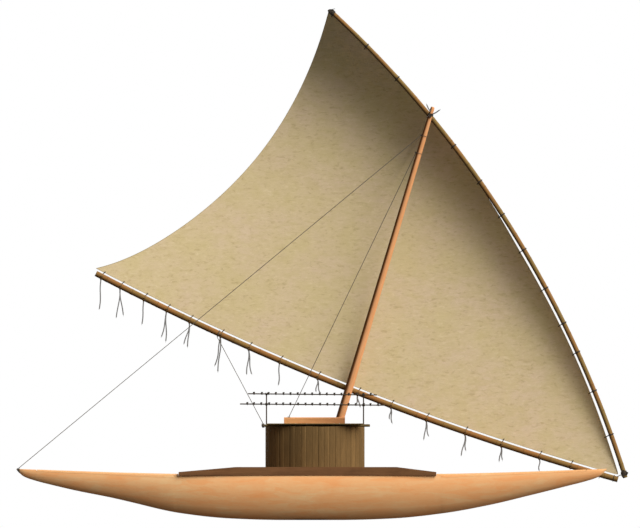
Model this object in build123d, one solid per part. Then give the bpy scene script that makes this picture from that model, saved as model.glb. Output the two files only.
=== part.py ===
from build123d import *
import math
import os

os.makedirs("parts", exist_ok=True)

# Sizes are in millimetres. +X runs to the bow, +Z up and -Y to the windward (near) hull.
# The model is drawn about the middle of the hulls and moved at the end, so that the
# origin lies on the ground under the middle of the whole boat.

# Hulls
HULL_LENGTH = 18000
HULL_DEPTH = 1357
HULL_BEAM = 1010
HULL_SPACING = 3100
DECK_CROWN = 47
KEEL_WIDTH = 170
BILGE_HEIGHT = 0.36
BILGE_BREADTH = 0.87
STRAKES = 10
CROWN_STRIPS = 4
COVER_DEPTH = 70
COVER_END_SHARE = 0.93

# Deck
DECK_OVERHANG = 20
DECK_RISE = 259
DECK_END_RISE = 107
DECK_STERN_END = -4053
DECK_STERN_TOP = -2312
DECK_BOW_TOP = 2593
DECK_BOW_END = 3806
PLANK_THICKNESS = 45
PLANK_COUNT = 17
PLANK_GAP = 8
SIDE_BOARD = 55
BEAM_WIDTH = 150
BEAM_COUNT = 6

# Hut
HUT_X = 107
HUT_LENGTH = 3020
HUT_WIDTH = 2240
HUT_WALL_HEIGHT = 1222
STAVE_COUNT = 46
STAVE_THICKNESS = 36
STAVE_GAP = 7
DOOR_WIDTH = 760
DOOR_HEIGHT = 1010
HOOP_DEPTH = 70
HOOP_THICKNESS = 40
HOOP_INSET = 60

# Roof
ROOF_POLE_RADIUS = 42
ROOF_OVERHANG = 330
ROOF_POLE_STERN = -1525
ROOF_POLE_BOW = 1784
SLAT_COUNT = 17
SLAT_THICKNESS = 24
SLAT_GAP = 14
ROOF_LENGTH = 2840
ROOF_WIDTH = 2060

# Rails on the windward side
RAIL_POST_RADIUS = 20
RAIL_POST_XS = (-1373, 1586)
RAIL_RADIUS = 19
UPPER_RAIL_STERN = -1937
UPPER_RAIL_BOW = 1998
UPPER_RAIL_Z = 3832
LOWER_RAIL_STERN = -2181
LOWER_RAIL_BOW = 2242
LOWER_RAIL_Z = 3520
RAIL_DROP = 38
KNOB_LENGTH = 84
KNOB_HEIGHT = 52
KNOB_PITCH = 222

# Mast
STEP_STERN = -839
STEP_BOW = 1022
STEP_WIDTH = 360
STEP_HEIGHT = 186
SOCKET_DEPTH = 95
MAST_X = 880
MAST_RAKE = 16.6
MAST_FOOT_RADIUS = 128
MAST_HEAD_RADIUS = 78
MAST_PAST_YARD = 300

# Spars: each is a pole with an even bow
YARD_RADIUS = 75
YARD_CHORD = 16820
YARD_ANGLE = 122.25
YARD_BOW = 1105
YARD_HEEL_PAST_BOW = 574
YARD_HEEL_Z = 1290
BOOM_RADIUS = 92
BOOM_CHORD = 17118
BOOM_ANGLE = 158.35
BOOM_BOW = 448
BOOM_HEEL_PAST_BOW = 345
BOOM_HEEL_Z = 1235
BOOM_CLEARANCE = 25
TACK_FROM_HEEL = 0.033
SPAR_SIDE_COUNT = 12
SPAR_PIECE_COUNT = 18
MAST_SIDE_COUNT = 20

# Sail
SAIL_THICKNESS = 12
SWELL_TACK = 0.24
SWELL_LEECH = 0.96
SWELL_PEAK = 0.32
SWELL_REACH = 0.27
SWELL_REACH_LEECH = 0.20
SWELL_EASE = 0.07
SAIL_TACK_SHARE = 0.004
SAIL_ROW_COUNT = 12
SAIL_COLUMN_COUNT = 14
LEECH_HOLLOW = 1327
LUFF_GAP_PEAK = 22
LUFF_GAP_MIDDLE = 56
LUFF_GAP_TACK = 105
FOOT_GAP = 52

# Ropes
STAY_RADIUS = 10
SEIZING_THICKNESS = 26
SEIZING_WIDTH = 80
STROP_THICKNESS = 16
STROP_WIDTH = 60
LASHING_THICKNESS = 18
LASHING_WIDTH = 46
LASHING_TIE = 26
SEAT = 0.3
BACKSTAY_BELOW_YARD = 690
STEP_STAY_BELOW_YARD = 1180
STEP_STAY_FOOT = -720
SHEET_SHARE = 0.765
SHEET_POLE_X = -1475
BRIDLE_ROOM = 2.8
PEG_RADIUS = 26
PEG_LENGTH = 110
BOOM_LASHINGS = (0.087, 0.145, 0.216, 0.284, 0.357, 0.424, 0.487, 0.564, 0.637, 0.697,
                 0.752, 0.813, 0.858, 0.903, 0.95, 0.988)
YARD_LASHINGS = (0.052, 0.115, 0.19, 0.25, 0.305, 0.37, 0.449, 0.524, 0.595, 0.677,
                 0.765, 0.83, 0.914, 0.985)

DECK_WIDTH = HULL_SPACING + HULL_BEAM + 2 * DECK_OVERHANG
DECK_TOP = HULL_DEPTH + DECK_RISE
DECK_END_HEIGHT = HULL_DEPTH + DECK_END_RISE
HUT_WALL_TOP = DECK_TOP + HUT_WALL_HEIGHT
ROOF_POLE_Y = ROOF_WIDTH / 2 - ROOF_OVERHANG
HALF_LENGTH = HULL_LENGTH / 2
NEAR = -HULL_SPACING / 2
FAR = HULL_SPACING / 2
RIG_Y = MAST_FOOT_RADIUS + BOOM_RADIUS + BOOM_CLEARANCE

pieces = {}


def keep(name, shape):
    """Files a piece under its node name."""
    pieces[name] = shape


def box(x0, x1, y0, y1, z0, z1):
    """A box between pairs of limits."""
    middle = ((x0 + x1) / 2, (y0 + y1) / 2, (z0 + z1) / 2)
    return Pos(*middle) * Box(x1 - x0, y1 - y0, z1 - z0)


def upright(points, y0, y1):
    """A prism whose outline lies in the XZ plane, between two Y limits."""
    face = make_face(Polyline(*[(x, y0, z) for x, z in points], close=True))
    return extrude(face, y1 - y0, dir=(0, 1, 0))


def ring(centre, along, across, radius, sides):
    """The corners of an even loop about a centre, square to the direction along."""
    plane = Plane(origin=Vector(*centre), x_dir=Vector(*across), z_dir=Vector(*along))
    turns = [2 * math.pi * (side + 0.5) / sides for side in range(sides)]
    return [plane.from_local_coords((radius * math.cos(t), radius * math.sin(t), 0)) for t in turns]


def skin(rings):
    """A solid of flat faces from ring to ring, with a face on each end."""
    faces = [Face(Wire.make_polygon(rings[0])), Face(Wire.make_polygon(rings[-1]))]
    for a, b in zip(rings, rings[1:]):
        for i in range(len(a)):
            faces.append(Face(Wire.make_polygon([a[i - 1], a[i], b[i], b[i - 1]])))
    return Solid(Shell(faces))


def rod(start, end, radius, end_radius=None, sides=8):
    """A pole of even sides between two points, tapered if the end has its own radius."""
    run = Vector(*end) - Vector(*start)
    across = Vector(0, 0, 1) if abs(run.Y) > 0.99 * run.length else Vector(0, 1, 0)
    across = run.cross(across)
    tip = radius if end_radius is None else end_radius
    return skin([ring(start, run, across, radius, sides), ring(end, run, across, tip, sides)])


def band(centre, along, across, inner, thickness, width):
    """An eight-sided ring of rope turns about the direction along."""
    plane = Plane(origin=Vector(*centre), x_dir=Vector(*across), z_dir=Vector(*along))
    inside = RegularPolygon(inner, 8, major_radius=False, rotation=22.5)
    outside = RegularPolygon(inner + thickness, 8, major_radius=False, rotation=22.5)
    return extrude(plane * (outside - inside), width / 2, both=True)


class Bow:
    """An even arc in the XZ plane from a heel, by its chord, angle and depth."""

    def __init__(self, heel, chord, angle, depth):
        turn = math.radians(angle)
        self.heel = heel
        self.end = (heel[0] + chord * math.cos(turn), heel[1] + chord * math.sin(turn))
        self.radius = (chord ** 2 / 4 + depth ** 2) / (2 * abs(depth))
        self.side = math.copysign(1, depth)
        self.half = math.asin(chord / 2 / self.radius)
        right = (math.sin(turn), -math.cos(turn))
        reach = self.side * (abs(depth) - self.radius)
        self.centre = (heel[0] + chord / 2 * math.cos(turn) + right[0] * reach,
                       heel[1] + chord / 2 * math.sin(turn) + right[1] * reach)
        self.turn = turn

    def at(self, share, offset=0):
        """The point at a share of the arc, offset outward on its bowed side."""
        swing = self.turn - self.side * math.pi / 2 + self.side * self.half * (2 * share - 1)
        reach = self.radius + offset
        return (self.centre[0] + reach * math.cos(swing),
                self.centre[1] + reach * math.sin(swing))

    def along(self, share):
        """The unit direction of the arc at a share, from heel to end."""
        swing = self.turn + self.side * self.half * (2 * share - 1)
        return (math.cos(swing), math.sin(swing))

    def spar(self, share):
        """The pole's centre, its direction and the way to the sail, on its straight lengths."""
        length = min(int(share * SPAR_PIECE_COUNT), SPAR_PIECE_COUNT - 1)
        part = share * SPAR_PIECE_COUNT - length
        a = self.at(length / SPAR_PIECE_COUNT)
        b = self.at((length + 1) / SPAR_PIECE_COUNT)
        run = (b[0] - a[0], b[1] - a[1])
        size = math.hypot(*run)
        point = (a[0] + run[0] * part, a[1] + run[1] * part)
        along = (run[0] / size, run[1] / size)
        return point, along, (-self.side * along[1], self.side * along[0])

    def pole(self, radius, y):
        """The pole that follows the arc, in straight lengths."""
        rings = []
        for step in range(SPAR_PIECE_COUNT + 1):
            x, z = self.at(step / SPAR_PIECE_COUNT)
            dx, dz = self.along(step / SPAR_PIECE_COUNT)
            rings.append(ring((x, y, z), (dx, 0, dz), (0, 1, 0), radius, SPAR_SIDE_COUNT))
        return skin(rings)


def arc_through(a, b, c):
    """The centre and radius of the circle through three points."""
    d = 2 * (a[0] * (b[1] - c[1]) + b[0] * (c[1] - a[1]) + c[0] * (a[1] - b[1]))
    squares = [p[0] ** 2 + p[1] ** 2 for p in (a, b, c)]
    x = (squares[0] * (b[1] - c[1]) + squares[1] * (c[1] - a[1]) + squares[2] * (a[1] - b[1])) / d
    z = (squares[0] * (c[0] - b[0]) + squares[1] * (a[0] - c[0]) + squares[2] * (b[0] - a[0])) / d
    return (x, z), math.hypot(a[0] - x, a[1] - z)


def arc_points(a, b, c, count):
    """Points at even steps on the arc from a through b to c, both ends included."""
    (x, z), radius = arc_through(a, b, c)
    first, middle, last = [math.atan2(p[1] - z, p[0] - x) for p in (a, b, c)]
    span = (last - first) % (2 * math.pi)
    if (middle - first) % (2 * math.pi) > span:
        span -= 2 * math.pi
    turns = [first + span * step / count for step in range(count + 1)]
    return [(x + radius * math.cos(t), z + radius * math.sin(t)) for t in turns]


# Hull form: every section is the midship section made smaller, so all strakes are flat.
# One row for each station of a half hull: share of half length, then the keel's and the
# ridge's heights as shares of the depth
STATIONS = (
    (0.000, -0.006, 1.035),
    (0.140, 0.003, 1.035),
    (0.280, 0.036, 1.034),
    (0.440, 0.145, 1.036),
    (0.600, 0.333, 1.058),
    (0.740, 0.554, 1.086),
    (0.860, 0.753, 1.115),
    (0.940, 0.886, 1.135),
    (0.975, 0.962, 1.143),
    (1.000, 1.090, 1.152),
)
midship = (STATIONS[0][2] - STATIONS[0][1]) * HULL_DEPTH
gunwale = (HULL_BEAM / 2, midship - DECK_CROWN)
bilge = (HULL_BEAM / 2 * BILGE_BREADTH, midship * BILGE_HEIGHT)
bilge_side = arc_points((KEEL_WIDTH / 2, 0), bilge, gunwale, STRAKES)
crown = arc_points(gunwale, (0, midship), (-gunwale[0], gunwale[1]), CROWN_STRIPS)
far_side = [(-y, z) for y, z in reversed(bilge_side)]
OUTLINE = bilge_side + crown[1:-1] + far_side


def hull_ring(x, keel, ridge):
    """The midship outline, scaled to stand between a keel and a ridge height."""
    size = (ridge - keel) / midship
    return [Vector(x, y * size, keel + z * size) for y, z in OUTLINE]


rows = [(-share, keel, ridge) for share, keel, ridge in reversed(STATIONS)]
rows += STATIONS[1:]
form = skin([hull_ring(share * HALF_LENGTH, keel * HULL_DEPTH, ridge * HULL_DEPTH)
             for share, keel, ridge in rows])
ground = box(-HULL_LENGTH, HULL_LENGTH, -HULL_BEAM, HULL_BEAM, -HULL_DEPTH, 0)
SEAT_STERN = DECK_STERN_END - BEAM_WIDTH
SEAT_BOW = DECK_BOW_END + BEAM_WIDTH
seat = box(SEAT_STERN, SEAT_BOW, -HULL_BEAM, HULL_BEAM, HULL_DEPTH, 2 * HULL_DEPTH)
hull = form - ground - seat


def cover_zone(deck_end, side):
    """The prism above the joint between a hull's decked end and its cover."""
    tip = side * COVER_END_SHARE * HALF_LENGTH
    tip_z = HULL_DEPTH * 1.132 - COVER_DEPTH * 0.8
    outline = ((deck_end, HULL_DEPTH - COVER_DEPTH), (tip, tip_z),
               (tip + side * COVER_DEPTH, 2 * HULL_DEPTH), (deck_end, 2 * HULL_DEPTH))
    return upright(outline, -HULL_BEAM, HULL_BEAM)


bow_zone = cover_zone(SEAT_BOW, 1)
stern_zone = cover_zone(SEAT_STERN, -1)
bow_cover = hull & bow_zone
stern_cover = hull & stern_zone
shell = hull - bow_zone - stern_zone
for name, y in (("near", NEAR), ("far", FAR)):
    keep(name + "_hull", Pos(0, y, 0) * shell)
    keep(name + "_bow_cover", Pos(0, y, 0) * bow_cover)
    keep(name + "_stern_cover", Pos(0, y, 0) * stern_cover)

# Deck: side boards on the hulls, beams between them, planks on the beams
DECK_SIDE = DECK_WIDTH / 2
profile = ((DECK_STERN_END, HULL_DEPTH), (DECK_BOW_END, HULL_DEPTH),
           (DECK_BOW_END, DECK_END_HEIGHT), (DECK_BOW_TOP, DECK_TOP),
           (DECK_STERN_TOP, DECK_TOP), (DECK_STERN_END, DECK_END_HEIGHT))
keep("near_side_board", upright(profile, -DECK_SIDE, -DECK_SIDE + SIDE_BOARD))
keep("far_side_board", upright(profile, DECK_SIDE - SIDE_BOARD, DECK_SIDE))
INNER_SIDE = DECK_SIDE - SIDE_BOARD
beam_top = DECK_TOP - PLANK_THICKNESS
first_beam = DECK_STERN_TOP + BEAM_WIDTH
last_beam = DECK_BOW_TOP - BEAM_WIDTH
beams = []
for index in range(BEAM_COUNT):
    x = first_beam + (last_beam - first_beam) * index / (BEAM_COUNT - 1)
    beams.append(box(x - BEAM_WIDTH / 2, x + BEAM_WIDTH / 2, -INNER_SIDE, INNER_SIDE,
                     HULL_DEPTH, beam_top))
end_top = DECK_END_HEIGHT - PLANK_THICKNESS
for end, top in ((DECK_STERN_END, DECK_STERN_TOP), (DECK_BOW_END, DECK_BOW_TOP)):
    inward = math.copysign(1, top - end)
    rise = (DECK_TOP - DECK_END_HEIGHT) / abs(top - end)
    inner = end + inward * BEAM_WIDTH
    sill = ((end, HULL_DEPTH), (inner, HULL_DEPTH), (inner, end_top + rise * BEAM_WIDTH),
            (end, end_top))
    beams.append(upright(sill, -INNER_SIDE, INNER_SIDE))
keep("crossbeams", Compound(beams))

plank_width = (2 * INNER_SIDE - (PLANK_COUNT + 1) * PLANK_GAP) / PLANK_COUNT
flat, stern_ramp, bow_ramp = [], [], []
for index in range(PLANK_COUNT):
    y0 = -INNER_SIDE + PLANK_GAP + index * (plank_width + PLANK_GAP)
    y1 = y0 + plank_width
    flat.append(box(DECK_STERN_TOP + PLANK_GAP / 2, DECK_BOW_TOP - PLANK_GAP / 2, y0, y1,
                    beam_top, DECK_TOP))
    for end, top, group in ((DECK_STERN_END, DECK_STERN_TOP, stern_ramp),
                            (DECK_BOW_END, DECK_BOW_TOP, bow_ramp)):
        head = top - math.copysign(PLANK_GAP / 2, top - end)
        drop = (DECK_TOP - DECK_END_HEIGHT) * (PLANK_GAP / 2) / abs(top - end)
        ramp = ((end, end_top), (head, beam_top - drop), (head, DECK_TOP - drop),
                (end, DECK_END_HEIGHT))
        group.append(upright(ramp, y0, y1))
keep("deck_planks", Compound(flat))
keep("stern_ramp_planks", Compound(stern_ramp))
keep("bow_ramp_planks", Compound(bow_ramp))

# Hut: staves round an oval, with a doorway on the lee side
HALF_X = HUT_LENGTH / 2 - STAVE_THICKNESS / 2
HALF_Y = HUT_WIDTH / 2 - STAVE_THICKNESS / 2


def oval(angle):
    """A point of the wall's middle line and the outward direction there."""
    nx = math.cos(angle) / HALF_X
    ny = math.sin(angle) / HALF_Y
    size = math.hypot(nx, ny)
    return (HALF_X * math.cos(angle), HALF_Y * math.sin(angle)), (nx / size, ny / size)


steps = 1440
lengths = [0.0]
for index in range(steps):
    (x0, y0), _ = oval(2 * math.pi * index / steps)
    (x1, y1), _ = oval(2 * math.pi * (index + 1) / steps)
    lengths.append(lengths[-1] + math.hypot(x1 - x0, y1 - y0))
pitch = lengths[-1] / STAVE_COUNT
stations = []
for index in range(STAVE_COUNT):
    goal = (index + 0.5) * pitch
    place = next(i for i in range(steps) if lengths[i + 1] >= goal)
    stations.append(oval(2 * math.pi * (place + 0.5) / steps))
staves = []
for (x, y), (nx, ny) in stations:
    bottom = DECK_TOP
    if y > 0 and abs(x) < DOOR_WIDTH / 2:
        bottom = DECK_TOP + DOOR_HEIGHT
    height = HUT_WALL_TOP - bottom
    stave = Box(STAVE_THICKNESS, pitch - STAVE_GAP, height)
    turn = math.degrees(math.atan2(ny, nx))
    staves.append(Pos(HUT_X + x, y, bottom + height / 2) * Rot(0, 0, turn) * stave)
keep("hut_staves", Compound(staves))


def hoop_line(inset):
    """The many-sided loop that runs inside the staves, touching each one's face."""
    corners = []
    for index in range(STAVE_COUNT):
        (ax, ay), (anx, any_) = stations[index - 1]
        (bx, by), (bnx, bny) = stations[index]
        ca = ax * anx + ay * any_ - inset
        cb = bx * bnx + by * bny - inset
        det = anx * bny - any_ * bnx
        corners.append((HUT_X + (ca * bny - cb * any_) / det, (anx * cb - bnx * ca) / det))
    return make_face(Polyline(*corners, close=True))


hoop_outer = STAVE_THICKNESS / 2 + SEAT
hoop = hoop_line(hoop_outer) - hoop_line(hoop_outer + HOOP_THICKNESS)
upper_hoop = Pos(0, 0, HUT_WALL_TOP - HOOP_INSET - HOOP_DEPTH) * extrude(hoop, HOOP_DEPTH)
lower_hoop = Pos(0, 0, DECK_TOP + HOOP_INSET) * extrude(hoop, HOOP_DEPTH)
door_way = box(HUT_X - DOOR_WIDTH / 2, HUT_X + DOOR_WIDTH / 2, 0, HUT_WIDTH,
               DECK_TOP, DECK_TOP + DOOR_HEIGHT)
keep("upper_hoop", upper_hoop)
keep("lower_hoop", lower_hoop - door_way)

# Roof: two poles on the wall, slats across them
pole_z = HUT_WALL_TOP + ROOF_POLE_RADIUS + SEAT
pole_run = ROOF_POLE_BOW - ROOF_POLE_STERN
for name, y in (("near", -ROOF_POLE_Y), ("far", ROOF_POLE_Y)):
    plane = Plane(origin=(ROOF_POLE_STERN, y, pole_z), z_dir=(1, 0, 0))
    keep(name + "_roof_pole", Solid.make_cylinder(ROOF_POLE_RADIUS, pole_run, plane))
slat_bottom = pole_z + ROOF_POLE_RADIUS + SEAT
roof_top = slat_bottom + SLAT_THICKNESS
slat_pitch = ROOF_LENGTH / SLAT_COUNT
slats = []
for index in range(SLAT_COUNT):
    x = HUT_X + slat_pitch * (index + 0.5 - SLAT_COUNT / 2)
    half = (slat_pitch - SLAT_GAP) / 2
    slats.append(box(x - half, x + half, -ROOF_WIDTH / 2, ROOF_WIDTH / 2, slat_bottom, roof_top))
keep("roof_slats", Compound(slats))

# Rails along the windward edge of the roof
post_foot = pole_z + ROOF_POLE_RADIUS + SEAT
posts = [rod((x, -ROOF_POLE_Y, post_foot), (x, -ROOF_POLE_Y, UPPER_RAIL_Z + RAIL_RADIUS),
             RAIL_POST_RADIUS) for x in RAIL_POST_XS]
keep("rail_posts", Compound(posts))
rail_y = -ROOF_POLE_Y - (RAIL_POST_RADIUS + RAIL_RADIUS) * math.cos(math.pi / 8) - SEAT


def rail(stern, bow, z):
    """A rail pole that falls a little to the bow, with a row of knobs along its top."""
    fall = RAIL_DROP / (bow - stern)
    middle = (stern + bow) / 2
    bar = rod((stern, rail_y, z + RAIL_DROP / 2), (bow, rail_y, z - RAIL_DROP / 2), RAIL_RADIUS)
    count = int((bow - stern) / KNOB_PITCH)
    first = middle - KNOB_PITCH * (count - 1) / 2
    foot, head = KNOB_LENGTH / 2, KNOB_LENGTH / 4
    top = RAIL_RADIUS + KNOB_HEIGHT / 2
    outline = ((-foot, 0), (foot, 0), (foot, RAIL_RADIUS), (head, top), (-head, top),
               (-foot, RAIL_RADIUS))
    knob = upright(outline, -1.4 * RAIL_RADIUS, RAIL_RADIUS * math.cos(math.pi / 8))
    for index in range(count):
        x = first + index * KNOB_PITCH
        bar = bar + Pos(x, rail_y, z - fall * (x - middle)) * knob
    return bar


keep("upper_rail", rail(UPPER_RAIL_STERN, UPPER_RAIL_BOW, UPPER_RAIL_Z))
keep("lower_rail", rail(LOWER_RAIL_STERN, LOWER_RAIL_BOW, LOWER_RAIL_Z))

# Spars
yard = Bow((HALF_LENGTH + YARD_HEEL_PAST_BOW, YARD_HEEL_Z), YARD_CHORD, YARD_ANGLE, YARD_BOW)
boom = Bow((HALF_LENGTH + BOOM_HEEL_PAST_BOW, BOOM_HEEL_Z), BOOM_CHORD, BOOM_ANGLE, -BOOM_BOW)
keep("yard", yard.pole(YARD_RADIUS, RIG_Y))
keep("boom", boom.pole(BOOM_RADIUS, RIG_Y))

# Mast: its head stands where its line crosses the yard
step_top = roof_top + STEP_HEIGHT
rake = math.radians(MAST_RAKE)
lean = (math.sin(rake), math.cos(rake))
low, high = 0.3, 0.99
for _ in range(60):
    share = (low + high) / 2
    (x, z), yard_dir, _ = yard.spar(share)
    ahead = (x - MAST_X) * lean[1] - (z - step_top) * lean[0]
    if ahead > 0:
        low = share
    else:
        high = share
CROSS = (x, z)
heel_drop = SOCKET_DEPTH - MAST_FOOT_RADIUS * math.tan(rake)
mast_run = math.hypot(CROSS[0] - MAST_X, CROSS[1] - step_top) + heel_drop + MAST_PAST_YARD


def mast_at(run):
    """The point of the mast's axis and its radius at a run from the heel."""
    away = run - heel_drop
    radius = MAST_FOOT_RADIUS + (MAST_HEAD_RADIUS - MAST_FOOT_RADIUS) * run / mast_run
    return (MAST_X + away * lean[0], 0, step_top + away * lean[1]), radius


heel_point, _ = mast_at(0)
head_point, _ = mast_at(mast_run)
keep("mast", rod(heel_point, head_point, MAST_FOOT_RADIUS, MAST_HEAD_RADIUS, MAST_SIDE_COUNT))
step = box(STEP_STERN, STEP_BOW, -STEP_WIDTH / 2, STEP_WIDTH / 2, roof_top, step_top)
step = chamfer(step.edges().filter_by(Axis.X).group_by(Axis.Z)[-1], 30)
socket_top, _ = mast_at(4 * SOCKET_DEPTH)
step = step - rod(heel_point, socket_top, MAST_FOOT_RADIUS + SEAT, sides=MAST_SIDE_COUNT)
keep("mast_step", step)

# Swing line of the rig: from the tack bridle to the masthead
TACK, _, to_sail = boom.spar(TACK_FROM_HEEL)
swing = Vector(CROSS[0] - TACK[0], 0, CROSS[1] - TACK[1]).normalized()

# Masthead strop: turns round the mast and loose turns round the yard
cross_run = mast_run - MAST_PAST_YARD
cross_point, cross_radius = mast_at(cross_run)
skew = math.acos(abs(yard_dir[0] * swing.X + yard_dir[1] * swing.Z))
loose = YARD_RADIUS / math.cos(skew) + STROP_WIDTH / 2 * math.tan(skew) + 2 * SEAT
tight = cross_radius + 2 * SEAT
mast_axis = (lean[0], 0, lean[1])
mast_turns = band(cross_point, mast_axis, (0, 1, 0), tight, STROP_THICKNESS, STROP_WIDTH)
yard_turns = band((CROSS[0], RIG_Y, CROSS[1]), swing, (0, 1, 0), loose, STROP_THICKNESS,
                  STROP_WIDTH)
neck = rod((CROSS[0], tight + STROP_THICKNESS / 2, CROSS[1]),
           (CROSS[0], RIG_Y - loose - STROP_THICKNESS / 2, CROSS[1]), STROP_WIDTH / 2)
keep("masthead_strop", mast_turns + yard_turns + neck)


def mast_hitch(run):
    """Rope turns round the mast at a run from its heel."""
    point, radius = mast_at(run)
    return band(point, mast_axis, (0, 1, 0), radius + 2 * SEAT, SEIZING_THICKNESS, SEIZING_WIDTH)


def mast_side(run, side):
    """The point on the mast's stern face, where a stay leaves its hitch."""
    point, radius = mast_at(run)
    reach = radius + SEIZING_THICKNESS * 0.6
    return (point[0] - lean[1] * reach, side * radius * 0.2, point[2] + lean[0] * reach)


# Windward backstay: masthead to the near hull's stern
tip_x = -HALF_LENGTH + 60
tip_ridge = HULL_DEPTH * 1.152
stay_run = cross_run - BACKSTAY_BELOW_YARD
collar_rings = [hull_ring(x, HULL_DEPTH * 0.93, tip_ridge + 2 * STAY_RADIUS)
                for x in (tip_x - SEIZING_WIDTH / 2, tip_x + SEIZING_WIDTH / 2)]
collar = Pos(0, NEAR, 0) * (skin(collar_rings) - hull)
backstay = rod(mast_side(stay_run, -1), (tip_x, NEAR, tip_ridge + STAY_RADIUS), STAY_RADIUS)
keep("windward_backstay", mast_hitch(stay_run) + backstay + collar)

# Step stay: mast to the stern end of the step
stay_run = cross_run - STEP_STAY_BELOW_YARD
foot_band = box(STEP_STAY_FOOT - 40, STEP_STAY_FOOT + 40, -STEP_WIDTH / 2, STEP_WIDTH / 2,
                step_top, step_top + SEIZING_THICKNESS)
step_stay = rod(mast_side(stay_run, 1), (STEP_STAY_FOOT, 0, step_top + STAY_RADIUS), STAY_RADIUS)
keep("step_stay", mast_hitch(stay_run) + step_stay + foot_band)

# Sheet: boom to the stern end of the near roof pole
(sheet_x, sheet_z), sheet_dir, up = boom.spar(SHEET_SHARE)
boom_turns = band((sheet_x, RIG_Y, sheet_z), (sheet_dir[0], 0, sheet_dir[1]), (0, 1, 0),
                  BOOM_RADIUS + 2 * SEAT, SEIZING_THICKNESS, SEIZING_WIDTH)
pole_turns = band((SHEET_POLE_X, -ROOF_POLE_Y, pole_z), (1, 0, 0), (0, 1, 0),
                  ROOF_POLE_RADIUS + SEAT, SEIZING_THICKNESS, SEIZING_WIDTH)
under = BOOM_RADIUS + SEIZING_THICKNESS * 0.7
under_x, under_z = sheet_x - up[0] * under, sheet_z - up[1] * under
sheet = rod((under_x, RIG_Y, under_z),
            (SHEET_POLE_X, -ROOF_POLE_Y, pole_z + ROOF_POLE_RADIUS + SEIZING_THICKNESS * 0.6),
            STAY_RADIUS)
keep("sheet", boom_turns + sheet + pole_turns)

# Tack bridle: from a peg on each bow, under the boom
under = BOOM_RADIUS * math.cos(math.pi / SPAR_SIDE_COUNT) + STAY_RADIUS + BRIDLE_ROOM
under_x, under_z = TACK[0] - to_sail[0] * under, TACK[1] - to_sail[1] * under
low_point = (under_x, RIG_Y, under_z)
peg_z = HULL_DEPTH * 1.06
pegs = []
bridle = None
for y, side in ((NEAR, 1), (FAR, -1)):
    root = (TACK[0], y, peg_z)
    end = (TACK[0], y + side * (PEG_LENGTH + 75), peg_z)
    peg = rod(root, end, PEG_RADIUS) - Pos(0, y, 0) * hull
    pegs.append(peg)
    eye_y = y + side * (PEG_LENGTH + 40)
    eye = band((TACK[0], eye_y, peg_z), (0, 1, 0), (1, 0, 0), PEG_RADIUS + SEAT,
               SEIZING_THICKNESS, 2 * STAY_RADIUS)
    hold = (TACK[0], eye_y, peg_z - PEG_RADIUS - SEIZING_THICKNESS)
    half = eye + rod(hold, low_point, STAY_RADIUS)
    bridle = half if bridle is None else bridle + half
keep("bow_pegs", Compound(pegs))
keep("tack_bridle", bridle)

# Sail: arcs from luff to foot, hollowed along the leech
luff_peak = yard.at(0.995, -YARD_RADIUS - LUFF_GAP_PEAK)
luff_mid = yard.at(0.55, -YARD_RADIUS - LUFF_GAP_MIDDLE)
luff_tack = yard.at(0.011, -YARD_RADIUS - LUFF_GAP_TACK)
luff_centre, luff_radius = arc_through(luff_tack, luff_mid, luff_peak)
luff_a = math.atan2(luff_tack[1] - luff_centre[1], luff_tack[0] - luff_centre[0])
luff_b = math.atan2(luff_peak[1] - luff_centre[1], luff_peak[0] - luff_centre[0])


def luff_at(share):
    """A point of the sail's luff, from tack to peak."""
    turn = luff_a + (luff_b - luff_a) * share
    return (luff_centre[0] + luff_radius * math.cos(turn),
            luff_centre[1] + luff_radius * math.sin(turn))


def foot_at(share):
    """A point of the sail's foot, along the boom."""
    return boom.at(0.004 + 0.996 * share, -BOOM_RADIUS - FOOT_GAP)


def climb(share, reach):
    """How far a slope has risen that is even up to a reach and then eases off."""
    over = math.log(1 + math.exp((share - reach) / SWELL_EASE))
    return share - SWELL_EASE * (over - math.log(1 + math.exp(-reach / SWELL_EASE)))


def swell(along, across):
    """The depth of the sail as a share of its width there: steep behind the luff."""
    rise = along * along * (3 - 2 * along)
    steep = SWELL_TACK + (SWELL_LEECH - SWELL_TACK) * rise + SWELL_PEAK * along ** 8
    reach = SWELL_REACH + (SWELL_REACH_LEECH - SWELL_REACH) * along ** 3
    return steep * (climb(across, reach) - across * climb(1, reach))


def sail_point(along, across, y):
    """A point of the sail: along from tack to leech, across from luff to foot."""
    ax, az = luff_at(along)
    bx, bz = foot_at(along)
    span = math.hypot(bx - ax, bz - az)
    inward = (az - bz) / span, (bx - ax) / span
    hollow = LEECH_HOLLOW * along ** 2 * 4 * across * (1 - across)
    return Vector(ax + (bx - ax) * across + inward[0] * hollow, y + span * swell(along, across),
                  az + (bz - az) * across + inward[1] * hollow)


def sail_face(y):
    """The grid of points of one face of the sail."""
    reach = 1 - SAIL_TACK_SHARE
    stations = [SAIL_TACK_SHARE + reach * step / SAIL_ROW_COUNT for step in range(SAIL_ROW_COUNT + 1)]
    widths = [step / SAIL_COLUMN_COUNT for step in range(SAIL_COLUMN_COUNT + 1)]
    return [[sail_point(along, across, y) for across in widths] for along in stations]


front = sail_face(RIG_Y - SAIL_THICKNESS / 2)
back = sail_face(RIG_Y + SAIL_THICKNESS / 2)
panels = []
for grid in (front, back):
    for row, nxt in zip(grid, grid[1:]):
        for i in range(SAIL_COLUMN_COUNT):
            panels.append((row[i], row[i + 1], nxt[i]))
            panels.append((row[i + 1], nxt[i + 1], nxt[i]))
for fore, aft in ((front[0], back[0]), (front[-1], back[-1]),
                  ([r[0] for r in front], [r[0] for r in back]),
                  ([r[-1] for r in front], [r[-1] for r in back])):
    for i in range(len(fore) - 1):
        panels.append((fore[i], fore[i + 1], aft[i + 1], aft[i]))
sail = Solid(Shell([Face(Wire.make_polygon(panel)) for panel in panels]))
keep("sail", sail)


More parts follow.
